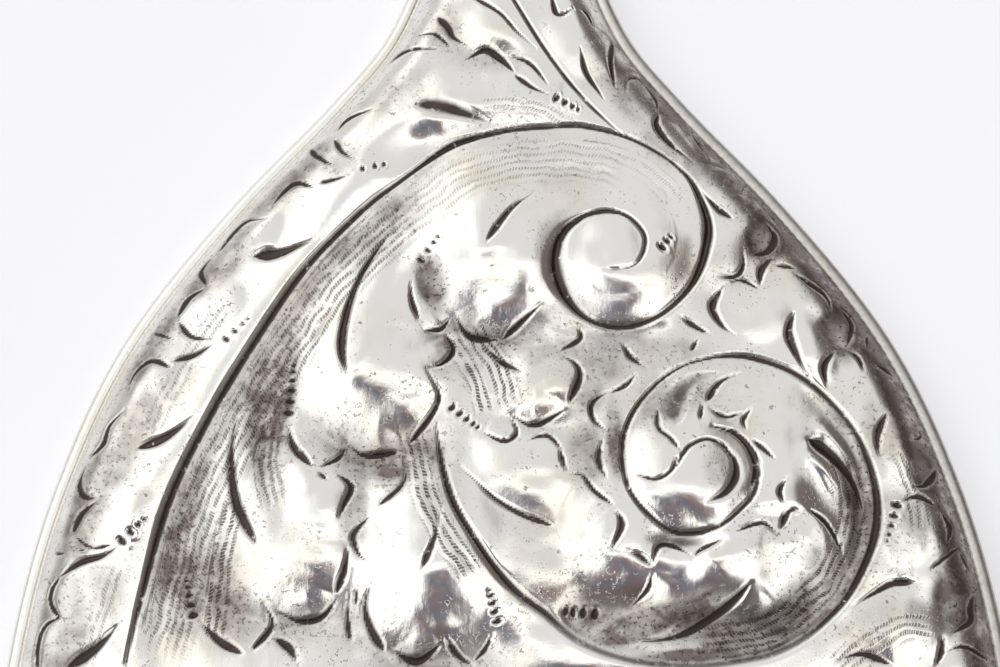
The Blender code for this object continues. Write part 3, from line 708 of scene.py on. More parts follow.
def punch_rows(sheet):
    """The rows of shrinking dots that end the leaf veins."""
    work(sheet, punch_row, (
        ((-30.2, -16.2), (-29.6, -9.4), 6, 0.74, 0.36),
        ((-42.4, -44.6), (-43.5, -39.8), 5, 0.78, 0.4),
        ((-12.1, 5.9), (-9.8, 9.2), 4, 0.58, 0.32),
        ((-7.7, -15.6), (-4.2, -18.4), 5, 0.6, 0.4),
        ((-1.5, -45.6), (-2.6, -41.4), 5, 0.62, 0.36),
        ((11.6, -44.4), (7.6, -44.1), 4, 0.8, 0.6),
        ((21.5, 7.7), (22.8, 9.3), 3, 0.7, 0.4),
    ))


def tool_lines(sheet):
    """Where the fine rows of tool marks lie, beside the lines that they follow."""
    hatch(sheet, SCROLL_A[0:8], -1, (1.4, 8), folds=0.07, fold_spacing=3.2, strength=0.75)
    hatch(sheet, SCROLL_A[5:16], -1, (1.6, 8), (0.1, 1), folds=0.04, fold_spacing=3.2, strength=0.35)
    hatch(sheet, SCROLL_A[12:20], -1, (1.4, 4.5), (0, 0.8), strength=0.3)
    hatch(sheet, [(-30, -3), (-33.5, -12), (-35.5, -22), (-34, -31)], 1, (0.4, 4), folds=0.05, strength=0.7)
    hatch(sheet, [(-38.5, -28), (-40.5, -37), (-41, -48)], 1, (0, 3))
    hatch(sheet, SCROLL_B[9:19], 1, (1.3, 5.5), folds=0.06, fold_spacing=2.6)
    hatch(sheet, SCROLL_B[0:5], -1, (1.2, 4.6), folds=0.05)
    hatch(sheet, [(-6.5, -4.5), (-3.5, -10), (-1.5, -16)], 1, (0.2, 3.6))
    hatch(sheet, [(-6.5, -4.5), (-3.5, -10), (-1.5, -16)], -1, (0.2, 2.6))
    hatch(sheet, [(-37.5, -1), (-43, -10), (-47.5, -20)], -1, (0.2, 2.8), strength=0.45)
    hatch(sheet, [(-51.5, -38), (-53.5, -45), (-55, -52)], -1, (0, 2.5), strength=0.45)
    hatch(sheet, [(42, -50), (47, -46), (52, -43.5), (57, -43)], -1, (0.6, 4.5), strength=0.7)
    hatch(sheet, [(51.5, -22), (53.5, -27), (54.5, -33)], 1, (0, 3), strength=0.45)
    hatch(sheet, [(-4, 30.5), (3, 30.5), (10, 27.5)], -1, (0, 2), strength=0.45)


def worn_films(sheet):
    """Patches of brown film on the ground along the rims and between the leaves: tarnish, and painted shade
    where the round scroll and the right rim look dark.
    """
    for centre, radii, amount, angle in (
        # The left rim
        ((-60, -48), (4.4, 12), 0.78, 0), ((-57, -28), (3.4, 12), 0.88, -15),
        ((-54, -23), (3.4, 5.5), 0.78, -20), ((-51, -17.5), (3.4, 5), 0.7, -25),
        ((-50.5, -7), (3.2, 10), 0.88, -32), ((-41, 6), (3.4, 9), 0.88, -38),
        ((-45, -11), (2.4, 5), 0.5, -30), ((-31, 19), (3.2, 9), 0.8, -45),
        ((-24, 21), (3, 4), 0.6, -40), ((-54.5, -41), (3, 4.5), 0.5, 0),
        # The leaves of the large scroll
        ((-33, -20), (3.2, 11), 0.7, 5), ((-31, -12), (2.2, 8), 0.55, -8),
        ((-38, -40), (3.5, 9), 0.6, 8), ((-43, -42), (2.6, 9), 0.6, -4),
        ((-45, -32), (3, 12), 0.45, -12),
        ((-10.5, 2.8), (2.4, 4.4), 0.9, 12), ((-9, -27.5), (3.5, 6.5), 0.5, 0),
        ((-21, -31), (2.4, 5), 0.6, 10), ((-15.5, -25.5), (2.6, 3.6), 0.5, 20),
        # Between the scrolls
        ((8, -8.5), (5.5, 3), 0.45, 20), ((13, -9), (4.5, 3.5), 0.6, 0),
        ((10.5, -13), (3, 4), 0.7, 0), ((10.5, -22.5), (2.6, 5.5), 0.6, 0),
        ((14.6, -20.5), (1.3, 6.5), 0.8, 4), ((20.5, -16), (3.2, 6), 0.45, 0), ((22, -8), (7, 2.4), 0.5, 5),
        # The round scroll, where the brown film is mostly painted shade along its foot and its outer line
        ((47, -30), (2.6, 9.5), 0.8, 0), ((42.5, -38), (2.6, 4), 0.6, 30),
        ((18.5, -45.6), (7, 1.8), 1.3, 22), ((38.5, -43), (2.6, 4.5), 1, -30),
        ((24, -50.4), (8, 1.2), 1, 4),
        ((26, -43.4), (4.5, 2), 1.1, 32),
        ((28.5, -25), (2, 3.6), 0.6, 10), ((24.5, -14), (2.2, 4.2), 0.6, -25),
        # The right rim, where the brown film is mostly painted shade
        ((34, 15.5), (3.6, 8), 0.9, 40), ((36, 9.4), (3.2, 4.2), 1.25, 0),
        ((44.5, 1.5), (3.4, 9), 0.9, 33), ((46, -4.2), (3.2, 4.6), 1.25, 10),
        ((50.5, -6), (2.6, 8), 0.9, 28), ((55.5, -16), (3, 10), 0.9, 20),
        ((58.5, -27), (3, 9), 0.9, 14), ((61, -36), (3.2, 11), 0.9, 10),
        ((62.5, -47), (3, 9), 0.9, 4), ((51, -19), (2.6, 5), 0.7, 10),
        ((57.2, -24.5), (2.6, 3.8), 1.2, 0), ((53, -31), (3.5, 6), 0.5, 0),
        ((59.8, -42.4), (3, 5.4), 1.1, 5), ((48, -46), (5, 2.6), 0.5, 30),
        ((30.5, 5), (3, 3.5), 0.4, 0),
        # The neck
        ((22, 24.5), (3, 5), 0.7, 30), ((17, 31), (3, 6), 0.7, 30),
        ((27.5, 20.5), (3, 6), 0.8, 38), ((13.5, 40), (2.6, 8), 0.7, 12),
        ((-9, 42), (3, 4), 0.5, -30), ((-15, 31.5), (3.6, 5), 0.45, -45),
    ):
        film(sheet, centre, radii, amount, angle)
    # Painted highlights: the film is taken away where the metal should look bright
    painted_highlight_patch(sheet, (-7, -7), (5.5, 2.6), 0.9)
    painted_highlight_patch(sheet, (-1, -10.5), (3.6, 3.6), 0.6)


HEAD_MOTIFS = (
    scroll_a, scroll_b, scroll_b_leaf, bosses, leaf_edges_left, leaf_edges_middle, long_leaves,
    border_left, border_right, punch_rows, tool_lines, worn_films,
)


def lower_half(sheet):
    """The same leafwork turned half round fills the foot of the head."""
    foot = sheet.turned(-54, 1.05, 0.9)
    for motif in HEAD_MOTIFS:
        motif(foot)
    # The stem of the large scroll springs from the turned one
    chase(sheet, [(-51.2, -50.9), (-52, -57), (-52.9, -66), (-52.6, -76)], 0.9, 0.4)
    for x, y, lean in ((-63, -55, 1), (-64.5, -60, 1), (63.5, -56, -1), (65, -61, -1)):
        chase(sheet, [(x, y + 2), (x + 1.8 * lean, y), (x + 0.4 * lean, y - 2.4)], 1.1, 0.4, peak=0.5)


def handle_leaves(sheet):
    """A stem up the handle, with pairs of small leaves that turn outwards, and a curled end."""
    stem = [(-4, 54), (-1.5, 64), (1.2, 74), (1, 86), (-1, 97), (-0.5, 108), (2.5, 117)]
    chase(sheet, stem, 0.9, 0.42, banks=(0.15, 0.15))
    first_y, spacing, pairs, margin = 57, 8.2, 7, 3.2
    for i in range(pairs):
        y = first_y + spacing * i
        wide = float(side_half_width(y))
        for side in (-1, 1):
            foot = 0.9 * side
            tip = side * (wide - margin)
            leaf = [(foot, y), (0.45 * tip, y + 2.4), (0.85 * tip, y + 4.6), (tip, y + 8)]
            chase(sheet, leaf, 1, 0.38, peak=0.7, banks=(0.2, 0.2))
            chase(sheet, [(tip, y + 3.6), (tip + 0.9 * side, y + 5.6), (tip, y + 7.4)], 0.9, 0.35, peak=0.5)
            dome(sheet, (0.62 * tip, y + 6.4), (2.6, 3.6), 0.45, angle=-20 * side)
    curl = [(2.5, 117), (6, 121.5), (5, 127), (-0.5, 129), (-5.5, 125.5), (-5, 119.8), (-0.8, 118.6),
            (1.2, 122), (-1.2, 124.2)]
    chase(sheet, curl, 1.2, 0.45, banks=(0, 0.2))
    dome(sheet, (-0.5, 123.5), (7.5, 7), 0.7)
    scallops, ring, bulge, half_length = 9, 10.6, 1.25, 1.9
    for turn in range(scallops):
        a = math.radians(-20 + 27.5 * turn)
        x, y = ring * math.cos(a), 121 + ring * math.sin(a)
        out = (bulge * math.cos(a), bulge * math.sin(a))
        along = (-half_length * math.sin(a), half_length * math.cos(a))
        edge = [(x - along[0], y - along[1]), (x + out[0], y + out[1]), (x + along[0], y + along[1])]
        chase(sheet, edge, 0.9, 0.35, peak=0.5, banks=(0.15, 0))


def worked_unevenness(sheet, cell_and_height, draws):
    """The slight unevenness of hammered metal: smooth random heights over cells of this size."""
    spacing, height = cell_and_height
    low_x, low_y, span_x, span_y = -80.0, -150.0, 160.0, 300.0
    cells = draws.standard_normal((int(span_y / spacing) + 3, int(span_x / spacing) + 3))
    u, v = (sheet.x - low_x) / spacing, (sheet.y - low_y) / spacing
    i, j = v.astype(int), u.astype(int)
    s, t = u - j, v - i
    s, t = s * s * (3 - 2 * s), t * t * (3 - 2 * t)
    lower = cells[i, j] * (1 - s) + cells[i, j + 1] * s
    upper = cells[i + 1, j] * (1 - s) + cells[i + 1, j + 1] * s
    return height * (lower * (1 - t) + upper * t)


def carried(rows, share):
    """Each row takes over a share of the row before it, and then of the row after it."""
    rows = rows.copy()
    for i in range(1, len(rows)):
        rows[i] += share[i - 1] * (rows[i - 1] - rows[i])
    for i in range(len(rows) - 2, -1, -1):
        rows[i] += share[i] * (rows[i + 1] - rows[i])
    return rows


def softened(sheet, field, reach):
    """The field with detail finer than about this many millimetres smoothed away."""
    share_across = np.exp(-np.abs(np.diff(sheet.x, axis=1)) / reach)
    share_along = np.exp(-np.diff(sheet.rows) / reach)
    return carried(carried(field.T, share_across.T).T, share_along)


def rounded(ratio):
    """A soft quarter round from 0 to 1, and 1 beyond."""
    ratio = np.clip(ratio, 0, 1)
    return 0.4 * np.sqrt(1 - (1 - ratio) ** 2) + 0.6 * np.sin(0.5 * math.pi * ratio)


def ground_height(x, rim, half):
    """The smooth back under the ornament."""
    shoulder = np.minimum(SHOULDER_WIDTH, 0.6 * np.maximum(half, 1.0))
    dome_part = DOME_HEIGHT * np.maximum(half**2 - x**2, 0) / HEAD_RADIUS**2
    return EDGE_HEIGHT + SHOULDER_HEIGHT * rounded(rim / shoulder) + GROUND_DOME * dome_part


def tarnish_and_painted_shade(sheet, inside, draws):
    """Tarnish settles in the cuts and hollows, and a thinner film on low ground and along the rim. The
    painted shade that the motifs leave in the sheet is added to that film.
    """
    hollow = softened(sheet, sheet.relief, 0.9) - sheet.relief
    low = softened(sheet, sheet.relief, 5.0) - softened(sheet, sheet.relief, 1.2)
    sheet.patina = np.clip(0.9 * sheet.groove * inside + 2.0 * np.clip(hollow - 0.06, 0, 1), 0, 1)
    ground_film = np.clip(np.maximum(1.9 * low, 0) + sheet.shade, 0, 1.3) * inside
    scallops = worked_unevenness(sheet, RIM_SCALLOPS, draws)
    edge_film = fade(-sheet.rim + scallops, -6.0, -3.0) * fade(sheet.rim, 0.0, 0.7)
    # The film along the rim is darker on the right side: painted shade, for the dark that the right side of
    # the rim reflects
    sheet.film = np.maximum(ground_film, edge_film * (0.4 + fade(sheet.x, 5.0, 25.0)))


def chased_sheet():
    """Every motif worked into the sheet, and the height and the tarnish that follow from them."""
    sheet = Sheet()
    for motif in (*HEAD_MOTIFS, neck_leaves, lower_half, handle_leaves):
        motif(sheet)
    draws = np.random.default_rng(ORNAMENT_SEED)
    swelling = SWELLING_HEIGHT * (1 - np.exp(-sheet.nearest / SWELLING_REACH))
    swelling *= fade(-sheet.nearest, -FAR_FROM_LINES, -3.0)
    sheet.relief += softened(sheet, swelling, 0.8)
    for cell_and_height in (BROAD_UNEVENNESS, FINE_UNEVENNESS):
        sheet.relief += worked_unevenness(sheet, cell_and_height, draws)
    inside = fade(sheet.rim, PLAIN_EDGE - 0.8, PLAIN_EDGE + 1.2)
    sheet.relief *= inside
    sheet.line_amount *= inside
    tarnish_and_painted_shade(sheet, inside, draws)
    height = ground_height(sheet.x, sheet.rim, sheet.half[:, None]) + sheet.relief
    sheet.height = np.minimum(height, TOP_HEIGHT)
    return sheet


# ---------------------------------------------------------------- the sheet as a closed mesh


def grid_faces(index, facing_up):
    """The four-sided faces between neighbouring rows and columns of vertex numbers."""
    a, b, c, d = index[:-1, :-1], index[:-1, 1:], index[1:, 1:], index[1:, :-1]
    order = (a, b, c, d) if facing_up else (a, d, c, b)
    return np.stack(order, axis=-1).reshape(-1, 4)


def mesh_from(name, points, faces, fields):
    """A smooth mesh from arrays of points and of faces, where a repeated corner makes a triangle."""
    mesh = bpy.data.meshes.new(name)
    after = np.roll(faces, -1, axis=1)
    kept = faces != after
    counts = kept.sum(axis=1)
    whole = counts >= 3
    corners = faces[whole][kept[whole]]
    counts = counts[whole]
    mesh.vertices.add(len(points))
    mesh.vertices.foreach_set("co", (points * MM).astype(np.float32).ravel())
    mesh.loops.add(len(corners))
    mesh.loops.foreach_set("vertex_index", corners.astype(np.int32))
    mesh.polygons.add(len(counts))
    mesh.polygons.foreach_set("loop_start", (np.cumsum(counts) - counts).astype(np.int32))
    mesh.update(calc_edges=True)
    mesh.validate()
    mesh.shade_smooth()
    for field, values in fields.items():
        layer = mesh.attributes.new(field, "FLOAT", "POINT")
        layer.data.foreach_set("value", values.astype(np.float32))
    return mesh


def chased_back():
    """The back of the mirror: the worked outer face, a plain inner face, and the edge that joins them."""
    sheet = chased_sheet()
    rows, columns = sheet.x.shape
    outer = np.arange(rows * columns).reshape(rows, columns)
    outer[0], outer[-1] = outer[0, 0], outer[-1, 0]
    outer_points = np.stack([sheet.x, sheet.y, sheet.height], axis=-1).reshape(-1, 3)

    across = np.linspace(-1, 1, INNER_COLUMNS + 1)
    half = np.maximum(sheet.half - SHELL_THICKNESS, 0)[:, None]
    middle = (sheet.rows[0] + sheet.rows[-1]) / 2
    shrink = 1 - 2 * SHELL_THICKNESS / (sheet.rows[-1] - sheet.rows[0])
    inner_x = half * across[None]
    inner_y = np.repeat((middle + shrink * (sheet.rows - middle))[:, None], len(across), axis=1)
    nearest_column = np.round((across + 1) / 2 * COLUMNS).astype(int)
    rim = np.maximum(sheet.rim[:, nearest_column] - SHELL_THICKNESS, 0)
    smooth = softened(sheet, sheet.height, 2.0)[:, nearest_column]
    inner_z = smooth - SHELL_THICKNESS - GROOVE_ROOM * fade(rim, 1.0, 4.0)
    inner_z = np.maximum(inner_z, EDGE_HEIGHT)
    inner_z[:, [0, -1]] = EDGE_HEIGHT
    inner = rows * columns + np.arange(rows * len(across)).reshape(rows, len(across))
    inner[0], inner[-1] = inner[0, 0], inner[-1, 0]
    inner_points = np.stack([inner_x, inner_y, inner_z], axis=-1).reshape(-1, 3)

    left = np.stack([outer[:, 0], inner[:, 0]], axis=1)
    right = np.stack([outer[:, -1], inner[:, -1]], axis=1)
    faces = np.concatenate([
        grid_faces(outer, True),
        grid_faces(inner, False),
        grid_faces(left, False),
        grid_faces(right, True),
    ])
    points = np.concatenate([outer_points, inner_points])
    used = np.zeros(len(points), bool)
    used[faces.ravel()] = True
    number = np.cumsum(used) - 1
    plain = np.zeros(inner.size)
    fields = {
        name: np.concatenate([getattr(sheet, name).ravel(), plain])[used]
        for name in ("patina", "film", "line_u", "line_v", "line_amount")
    }
    back = bpy.data.objects.new("chased_back", mesh_from("chased_back", points[used], number[faces], fields))
    bpy.context.scene.collection.objects.link(back)
    return back


# ---------------------------------------------------------------- the rim and the front


def closed_outline(inset):
    """The whole outline moved inwards, as one loop of evenly spaced points from the foot of the head."""
    x, y = right_side(inset)
    loop = np.vstack([np.column_stack([x, y]), np.column_stack([-x[-2:0:-1], y[-2:0:-1]])])
    ends = np.vstack([loop, loop[:1]])
    passed = np.concatenate([[0.0], np.cumsum(np.linalg.norm(np.diff(ends, axis=0), axis=1))])
    at = np.linspace(0, passed[-1], RIM_POINTS, endpoint=False)
    return np.column_stack([np.interp(at, passed, ends[:, 0]), np.interp(at, passed, ends[:, 1])])


def swept_ring(name, rings, fields):
    """A closed ring from loops of points that follow one another round its section."""
    index = np.arange(len(rings) * RIM_POINTS).reshape(len(rings), RIM_POINTS)
    whole = np.concatenate([index, index[:1]])
    whole = np.concatenate([whole, whole[:, :1]], axis=1)
    made = bpy.data.objects.new(name, mesh_from(name, np.concatenate(rings), grid_faces(whole, True), fields))
    bpy.context.scene.collection.objects.link(made)
    return made


def rolled_rim():
    """The round wire that closes the seam between the back and the front."""
    rings = []
    for a in np.linspace(0, 2 * math.pi, RIM_SIDES, endpoint=False):
        plan = closed_outline(RIM_INSET - RIM_RADIUS * math.cos(a))
        rings.append(np.column_stack([plan, np.full(RIM_POINTS, RIM_HEIGHT + RIM_RISE * math.sin(a))]))
    across = np.concatenate(rings)[:, 0]
    # Painted shade: the film on the wire grows towards its right side
    return swept_ring("rolled_rim", rings, {"film": 0.5 * fade(across, 2.0, 22.0)})


# ---------------------------------------------------------------- materials


class Value:
    """What a node gives. Sums and products of values become math nodes."""

    def __init__(self, nodes, socket):
        self.nodes, self.socket = nodes, socket

    def __add__(self, other):
        return self.nodes.math("ADD", self, other)

    def __sub__(self, other):
        return self.nodes.math("SUBTRACT", self, other)

    def __mul__(self, other):
        return self.nodes.math("MULTIPLY", self, other)

    def __neg__(self):
        return self * -1.0

    __radd__ = __add__
    __rmul__ = __mul__


class Nodes:
    """A node tree, with short ways to add nodes and join them."""

    def __init__(self, tree):
        self.tree = tree
        tree.nodes.clear()

    def add(self, kind, inputs=(), **settings):
        node = self.tree.nodes.new(kind)
        for key, value in settings.items():
            setattr(node, key, value)
        for key, value in dict(inputs).items():
            self.give(node.inputs[key], value)
        return node

    def give(self, socket, value):
        """Joins the socket to another node's output, or sets its own value."""
        if isinstance(value, Value):
            self.tree.links.new(value.socket, socket)
        else:
            socket.default_value = value

    def value(self, kind, inputs=(), output=0, **settings):
        return Value(self, self.add(kind, inputs, **settings).outputs[output])

    def math(self, operation, a, b=0.0):
        return self.value("ShaderNodeMath", {0: a, 1: b}, operation=operation)

    def larger(self, a, b):
        return self.math("MAXIMUM", a, b)

    def size(self, a):
        return self.math("ABSOLUTE", a)

    def fraction(self, a):
        return self.math("FRACT", a)

    def step(self, value, low, high):
        """0 at low and 1 at high, smooth between."""
        inputs = {"Value": value, "From Min": low, "From Max": high}
        return self.value("ShaderNodeMapRange", inputs, interpolation_type="SMOOTHSTEP")

    def mix(self, factor, a, b):
        return self.value("ShaderNodeMix", {0: factor, 6: a, 7: b}, output=2, data_type="RGBA")

    def noise(self, place, scale, detail=3.0, roughness=0.5):
        inputs = {"Vector": place, "Scale": scale, "Detail": detail, "Roughness": roughness}
        return self.value("ShaderNodeTexNoise", inputs)

    def stretched(self, place, scale):
        return self.value("ShaderNodeVectorMath", {0: place, 1: scale}, operation="MULTIPLY")

    def field(self, name):
        return self.value("ShaderNodeAttribute", output="Fac", attribute_name=name)

    def bump(self, height, distance):
        return self.value("ShaderNodeBump", {"Height": height, "Distance": distance, "Strength": 1.0})


class Look:
    """A material with one Principled shader, whose sockets take these plain values."""

    def __init__(self, name, **values):
        self.material = bpy.data.materials.new(name)
        self.material.use_nodes = True
        self.nodes = Nodes(self.material.node_tree)
        self.shader = self.nodes.add("ShaderNodeBsdfPrincipled")
        output = self.nodes.add("ShaderNodeOutputMaterial")
        self.nodes.tree.links.new(self.shader.outputs[0], output.inputs["Surface"])
        self.give(**values)
        self.place = self.nodes.value("ShaderNodeTexCoord", output="Object")

    def give(self, **values):
        """Sets shader sockets by name, or joins them to the nodes that give their values."""
        for key, value in values.items():
            socket = key.replace("_", " ").title().replace("Ior", "IOR")
            self.nodes.give(self.shader.inputs[socket], value)


SILVER = (0.92, 0.90, 0.85, 1)
WARM_TARNISH = (0.80, 0.70, 0.50, 1)
GREY_TARNISH = (0.55, 0.52, 0.50, 1)
# Brown of the film, for tarnish and for painted shade alike
BROWN_FILM_AND_SHADE = (0.22, 0.185, 0.17, 1)
DARK_TARNISH = (0.085, 0.066, 0.060, 1)
HATCH_ROW = 1.15
HATCH_DOT = 0.50
GOLDEN_SHIFT = 0.618


def hatch_marks(nodes, place):
    """Wavering rows of small slanting tool marks, from the fields that say where the rows lie."""
    wander = nodes.noise(place, 230.0, 2.0) - 0.5
    quiver = nodes.noise(place, 1100.0, 1.0) - 0.5
    row = (nodes.field("line_u") + (wander * 1.6 + quiver * 0.40)) * (1 / HATCH_ROW)
    within = nodes.fraction(row) - 0.5
    row_mark = nodes.step(nodes.size(within), 0.32, 0.12)
    # Each row starts at another place, so that the marks of two rows don't line up
    shift = nodes.fraction(nodes.math("FLOOR", row) * GOLDEN_SHIFT)
    slant = within * 1.3 + quiver * 0.7
    along = nodes.field("line_v") * (1 / HATCH_DOT) + (shift + slant)
    dot_mark = 0.25 + 0.75 * nodes.step(nodes.size(nodes.fraction(along) - 0.5), 0.42, 0.18)
    strength = nodes.step(nodes.noise(place, 520.0, 3.0, 0.6), 0.28, 0.52)
    return row_mark * dot_mark * strength * nodes.field("line_amount")


def chased_silver():
    """Old polished silver: bright on the raised work, brown in the cuts, pitted and lightly scratched, with a
    brown film that is partly tarnish and partly painted shade.
    """
    look = Look("chased_silver", metallic=1.0)
    nodes, place = look.nodes, look.place
    patina, film_amount, line_amount = nodes.field("patina"), nodes.field("film"), nodes.field("line_amount")
    marks = hatch_marks(nodes, place)
    grain = nodes.noise(place, 900.0, 4.0, 0.6)
    cloud = nodes.noise(place, 90.0, 3.0, 0.6)
    smear = nodes.step(nodes.noise(place, 260.0, 4.0, 0.65), 0.35, 0.75)
    specks = nodes.step(nodes.noise(place, 1700.0, 2.0, 0.6), 0.585, 0.665)
    where = nodes.larger(nodes.step(nodes.noise(place, 140.0, 3.0), 0.48, 0.72), film_amount)
    pits = nodes.step(nodes.noise(place, 760.0, 3.0, 0.6), 0.685, 0.71) * nodes.step(cloud, 0.44, 0.58)
    speckled = nodes.larger(specks * where, pits)
    warm = nodes.mix(0.34 * nodes.step(cloud, 0.46, 0.70), SILVER, WARM_TARNISH)
    film_depth = nodes.math("POWER", film_amount, 1.5)
    # The brown film holds tarnish and the painted shade of the sheet alike
    filmed = nodes.mix(film_depth * (0.15 + (0.6 * grain + 0.6 * smear)), warm, BROWN_FILM_AND_SHADE)
    stained = nodes.mix(0.45 * nodes.step(patina, 0.02, 0.35), filmed, GREY_TARNISH)
    dotted = nodes.mix(0.88 * marks, stained, DARK_TARNISH)
    pitted = nodes.mix(0.62 * speckled, dotted, DARK_TARNISH)
    worn_patina = patina * nodes.step(grain, 0.15, 0.45)
    streaks = nodes.noise(nodes.stretched(place, (1.0, 0.16, 1.0)), 1500.0, 2.0)
    ripple = nodes.noise(place, 650.0, 3.0, 0.55)
    height = 0.12 * streaks + 0.28 * ripple - 0.5 * speckled - marks
    look.give(
        base_color=nodes.mix(nodes.step(worn_patina, 0.22, 0.80), pitted, DARK_TARNISH),
        roughness=0.10 + 0.08 * smear + 0.12 * line_amount + 0.16 * film_amount + 0.30 * patina,
        normal=nodes.bump(height, 0.06 * MM),
    )
    return look.material


def plain_silver():
    """The plain silver of the front and of the rim: polished, with fine streaks and stains, and a brown film
    that on the rim wire is painted shade on its right side.
    """
    look = Look("plain_silver", metallic=1.0)
    nodes, place = look.nodes, look.place
    film_amount = nodes.field("film")
    cloud = nodes.noise(place, 70.0, 4.0, 0.6)
    grain = nodes.noise(place, 1200.0, 3.0, 0.6)
    specks = nodes.step(grain, 0.66, 0.76) * nodes.step(cloud, 0.45, 0.65)
    warm = nodes.mix(0.3 * nodes.step(cloud, 0.48, 0.72), SILVER, WARM_TARNISH)
    # On the rim wire this film is painted shade on its right side
    filmed = nodes.mix(film_amount * (0.3 + grain), warm, BROWN_FILM_AND_SHADE)
    streaks = nodes.noise(nodes.stretched(place, (1.0, 0.12, 1.0)), 1300.0, 3.0)
    look.give(
        base_color=nodes.mix(0.5 * specks, filmed, DARK_TARNISH),
        roughness=0.20 + 0.16 * streaks + 0.2 * film_amount,
        normal=nodes.bump(0.3 * streaks - 0.6 * specks, 0.03 * MM),
    )
    return look.material


def clear_glass():
    """Old plate glass with a faint green tint and a few fine scratches."""
    look = Look("bevelled_glass", base_color=(0.93, 0.98, 0.95, 1), transmission_weight=1.0, ior=1.52)
    fine = look.nodes.noise(look.nodes.stretched(look.place, (1.0, 0.08, 1.0)), 900.0, 2.0)
    look.give(roughness=0.12 * look.nodes.step(fine, 0.68, 0.74))
    return look.material


def mirror_silvering():
    """The reflecting coat behind the glass, with small dark age spots."""
    look = Look("silvering", metallic=1.0, roughness=0.03)
    nodes = look.nodes
    patches = nodes.step(nodes.noise(look.place, 120.0, 5.0, 0.7), 0.66, 0.74)
    spots = patches * nodes.step(nodes.noise(look.place, 900.0, 3.0, 0.7), 0.60, 0.70)
    look.give(base_color=nodes.mix(spots, (0.86, 0.87, 0.86, 1), (0.10, 0.09, 0.07, 1)))
    return look.material


def fibre_sheet(name, pale, dark, scale, stretch, roughness):
    """Paper, card, wood or wadding: two tones drawn out along the fibres, with a matching bump."""
    look = Look(name, roughness=roughness)
    nodes = look.nodes
    fibres = nodes.noise(nodes.stretched(look.place, stretch), scale, 5.0, 0.65)
    cloud = nodes.noise(look.place, 60.0, 3.0)
    tone = nodes.step(0.7 * fibres + 0.3 * cloud, 0.35, 0.65)
    look.give(base_color=nodes.mix(tone, dark, pale), normal=nodes.bump(fibres, 0.12 * MM))
    return look.material


def dark_pitch():
    """The pitch that fills the handle."""
    look = Look("pitch")
    nodes = look.nodes
    lumps = nodes.noise(look.place, 180.0, 4.0, 0.6)
    look.give(
        base_color=nodes.mix(nodes.step(lumps, 0.3, 0.7), (0.012, 0.009, 0.007, 1), (0.05, 0.035, 0.025, 1)),
        roughness=0.25 + 0.3 * lumps,
        normal=nodes.bump(lumps, 0.3 * MM),
    )
    return look.material


def rolled_steel():
    """The strip of steel inside the handle, dull and lightly rusted."""
    look = Look("core_steel", metallic=1.0)
    nodes = look.nodes
    rust = nodes.step(nodes.noise(look.place, 260.0, 5.0, 0.7), 0.52, 0.66)
    rolled = nodes.noise(nodes.stretched(look.place, (1.0, 0.05, 1.0)), 1500.0, 3.0)
    look.give(
        base_color=nodes.mix(rust, (0.42, 0.41, 0.40, 1), (0.20, 0.09, 0.04, 1)),
        roughness=0.32 + 0.25 * rolled,
        normal=nodes.bump(rolled, 0.02 * MM),
    )
    return look.material


def dress(obj, material):
    """The object takes this material in place of its own."""
    if not obj.material_slots:
        obj.data.materials.append(material)
    for material_slot in obj.material_slots:
        material_slot.link = "OBJECT"
        material_slot.material = material


# ---------------------------------------------------------------- studio

ROOM_WHITE = (0.79, 0.79, 0.81, 1)
BRIGHT_WHITE = (1.30, 1.30, 1.30, 1)
LOW_GREY = (0.45, 0.43, 0.41, 1)
RIGHT_BROWN = (0.17, 0.145, 0.135, 1)
COLD_DARK = (0.11, 0.14, 0.20, 1)
WARM_DARK = (0.23, 0.15, 0.155, 1)
CLOTHES_DARK = (0.10, 0.09, 0.09, 1)
TABLE_WHITE = (0.80, 0.80, 0.82, 1)
BACKDROP = (0.885, 0.895, 0.935, 1)


def studio_world():
    """A white room: brightest at the left, dark low on the right, with a small dark patch by the camera."""
    world = bpy.data.worlds.new("studio")
    world.use_nodes = True
    nodes = Nodes(world.node_tree)
    direction = nodes.value("ShaderNodeTexCoord", output="Generated")
    x, y, z = (nodes.value("ShaderNodeSeparateXYZ", {0: direction}, output=axis) for axis in range(3))
    high = nodes.step(z, 0.38, 0.66)
    bright = nodes.larger(nodes.step(y, 0.28, 0.17) * high, nodes.step(x, -0.04, -0.30) * high)
    dim = nodes.step(z, 0.55, 0.35) * nodes.step(y, 0.75, 0.35)
    right = nodes.step(x, 0.22, 0.50) * nodes.step(z, 0.96, 0.85) * nodes.step(y, -0.50, -0.15)
    # The dark patch is someone who leans over the table: a head, and shoulders that widen below it
    shoulders = 0.105 + 0.5 * nodes.larger(-y - 0.12, 0.0)
    person = nodes.step(y, 0.14, 0.07) * nodes.step(nodes.size(x) - shoulders, 0.04, -0.03)
    dapple = nodes.step(nodes.noise(direction, 9.0, 2.0), 0.4, 0.6)
    figure = nodes.mix(nodes.step(y, -0.15, -0.55), nodes.mix(dapple, COLD_DARK, WARM_DARK), CLOTHES_DARK)
    room = nodes.mix(bright, ROOM_WHITE, BRIGHT_WHITE)
    for amount, colour in (
        (dim, LOW_GREY),
        (right, RIGHT_BROWN),
        (person, figure),
        (nodes.step(z, 0.13, 0.04), TABLE_WHITE),
    ):
        room = nodes.mix(amount, room, colour)
    seen = nodes.value("ShaderNodeLightPath", output="Is Camera Ray")
    background = nodes.value("ShaderNodeBackground", {"Color": nodes.mix(seen, room, BACKDROP)})
    nodes.add("ShaderNodeOutputWorld", {"Surface": background})
    bpy.context.scene.world = world


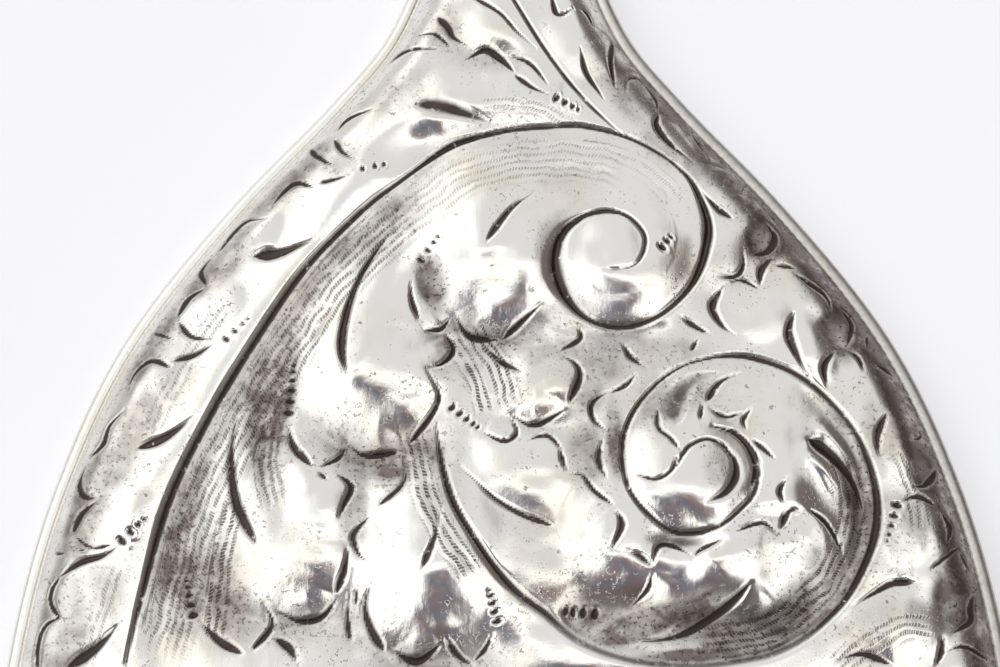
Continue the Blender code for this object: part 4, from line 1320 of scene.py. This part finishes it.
def pale_floor():
    """A large plain table top just under the mirror."""
    mesh = bpy.data.meshes.new("table_top")
    reach, level = 4.0, -0.0002
    corners = [(-reach, -reach, level), (reach, -reach, level), (reach, reach, level), (-reach, reach, level)]
    mesh.from_pydata(corners, [], [(0, 1, 2, 3)])
    floor = bpy.data.objects.new("table_top", mesh)
    bpy.context.scene.collection.objects.link(floor)
    look = Look("table_top", roughness=0.6, emission_color=(0.97, 0.97, 1.0, 1), emission_strength=0.32)
    mottle = look.nodes.noise(look.place, 30.0, 3.0)
    look.give(base_color=look.nodes.mix(mottle, (0.86, 0.87, 0.90, 1), (0.88, 0.89, 0.92, 1)))
    mesh.materials.append(look.material)


def aim_camera():
    """The camera looks down on the head of the mirror, from the foot end."""
    data = bpy.data.cameras.new("camera")
    data.lens = CAMERA_LENS
    data.sensor_width = 36.0
    data.clip_start, data.clip_end = 0.01, 20.0
    camera = bpy.data.objects.new("camera", data)
    bpy.context.scene.collection.objects.link(camera)
    height = math.radians(CAMERA_ELEVATION)
    back = Vector((0.0, -math.cos(height), math.sin(height)))
    camera.location = Vector(CAMERA_TARGET) + back * CAMERA_DISTANCE
    camera.rotation_mode = "QUATERNION"
    camera.rotation_quaternion = (-back).to_track_quat("-Z", "Y")
    bpy.context.scene.camera = camera


# ---------------------------------------------------------------- the scene

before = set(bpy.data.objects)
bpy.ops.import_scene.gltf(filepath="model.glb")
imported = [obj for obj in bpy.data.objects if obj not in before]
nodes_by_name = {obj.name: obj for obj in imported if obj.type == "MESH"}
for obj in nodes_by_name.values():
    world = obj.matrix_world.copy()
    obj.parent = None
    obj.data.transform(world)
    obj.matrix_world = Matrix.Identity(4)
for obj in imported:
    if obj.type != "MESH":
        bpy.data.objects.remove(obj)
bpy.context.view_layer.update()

back = chased_back()
back.data.materials.append(chased_silver())
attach(back, "root")
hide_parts("back_shell")

silver = plain_silver()
rim = rolled_rim()
rim.data.materials.append(silver)
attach(rim, "root")
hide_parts("rim_wire")
for node_name in ("front_frame", "glass_bezel"):
    dress(nodes_by_name[node_name], silver)
dress(nodes_by_name["mirror_glass"], clear_glass())
dress(nodes_by_name["silvering"], mirror_silvering())
for node_name, look_name, pale, dark, scale, stretch, roughness in (
    ("backing_paper", "backing_paper", (0.62, 0.54, 0.40, 1), (0.42, 0.34, 0.22, 1), 700.0, (1, 1, 1), 0.9),
    ("backing_board", "board_wood", (0.50, 0.33, 0.18, 1), (0.28, 0.16, 0.08, 1), 400.0, (1, 0.08, 1), 0.75),
    ("edge_packing", "packing_card", (0.55, 0.47, 0.35, 1), (0.36, 0.29, 0.20, 1), 900.0, (1, 1, 0.3), 0.9),
    ("packing_pad", "wadding", (0.70, 0.66, 0.58, 1), (0.45, 0.42, 0.36, 1), 500.0, (1, 0.4, 1), 1.0),
):
    fibrous = fibre_sheet(look_name, pale, dark, scale, stretch, roughness)
    dress(nodes_by_name[node_name], fibrous)
dress(nodes_by_name["handle_fill"], dark_pitch())
dress(nodes_by_name["handle_core"], rolled_steel())

pale_floor()
studio_world()
aim_camera()
bpy.context.scene.view_settings.view_transform = "Standard"
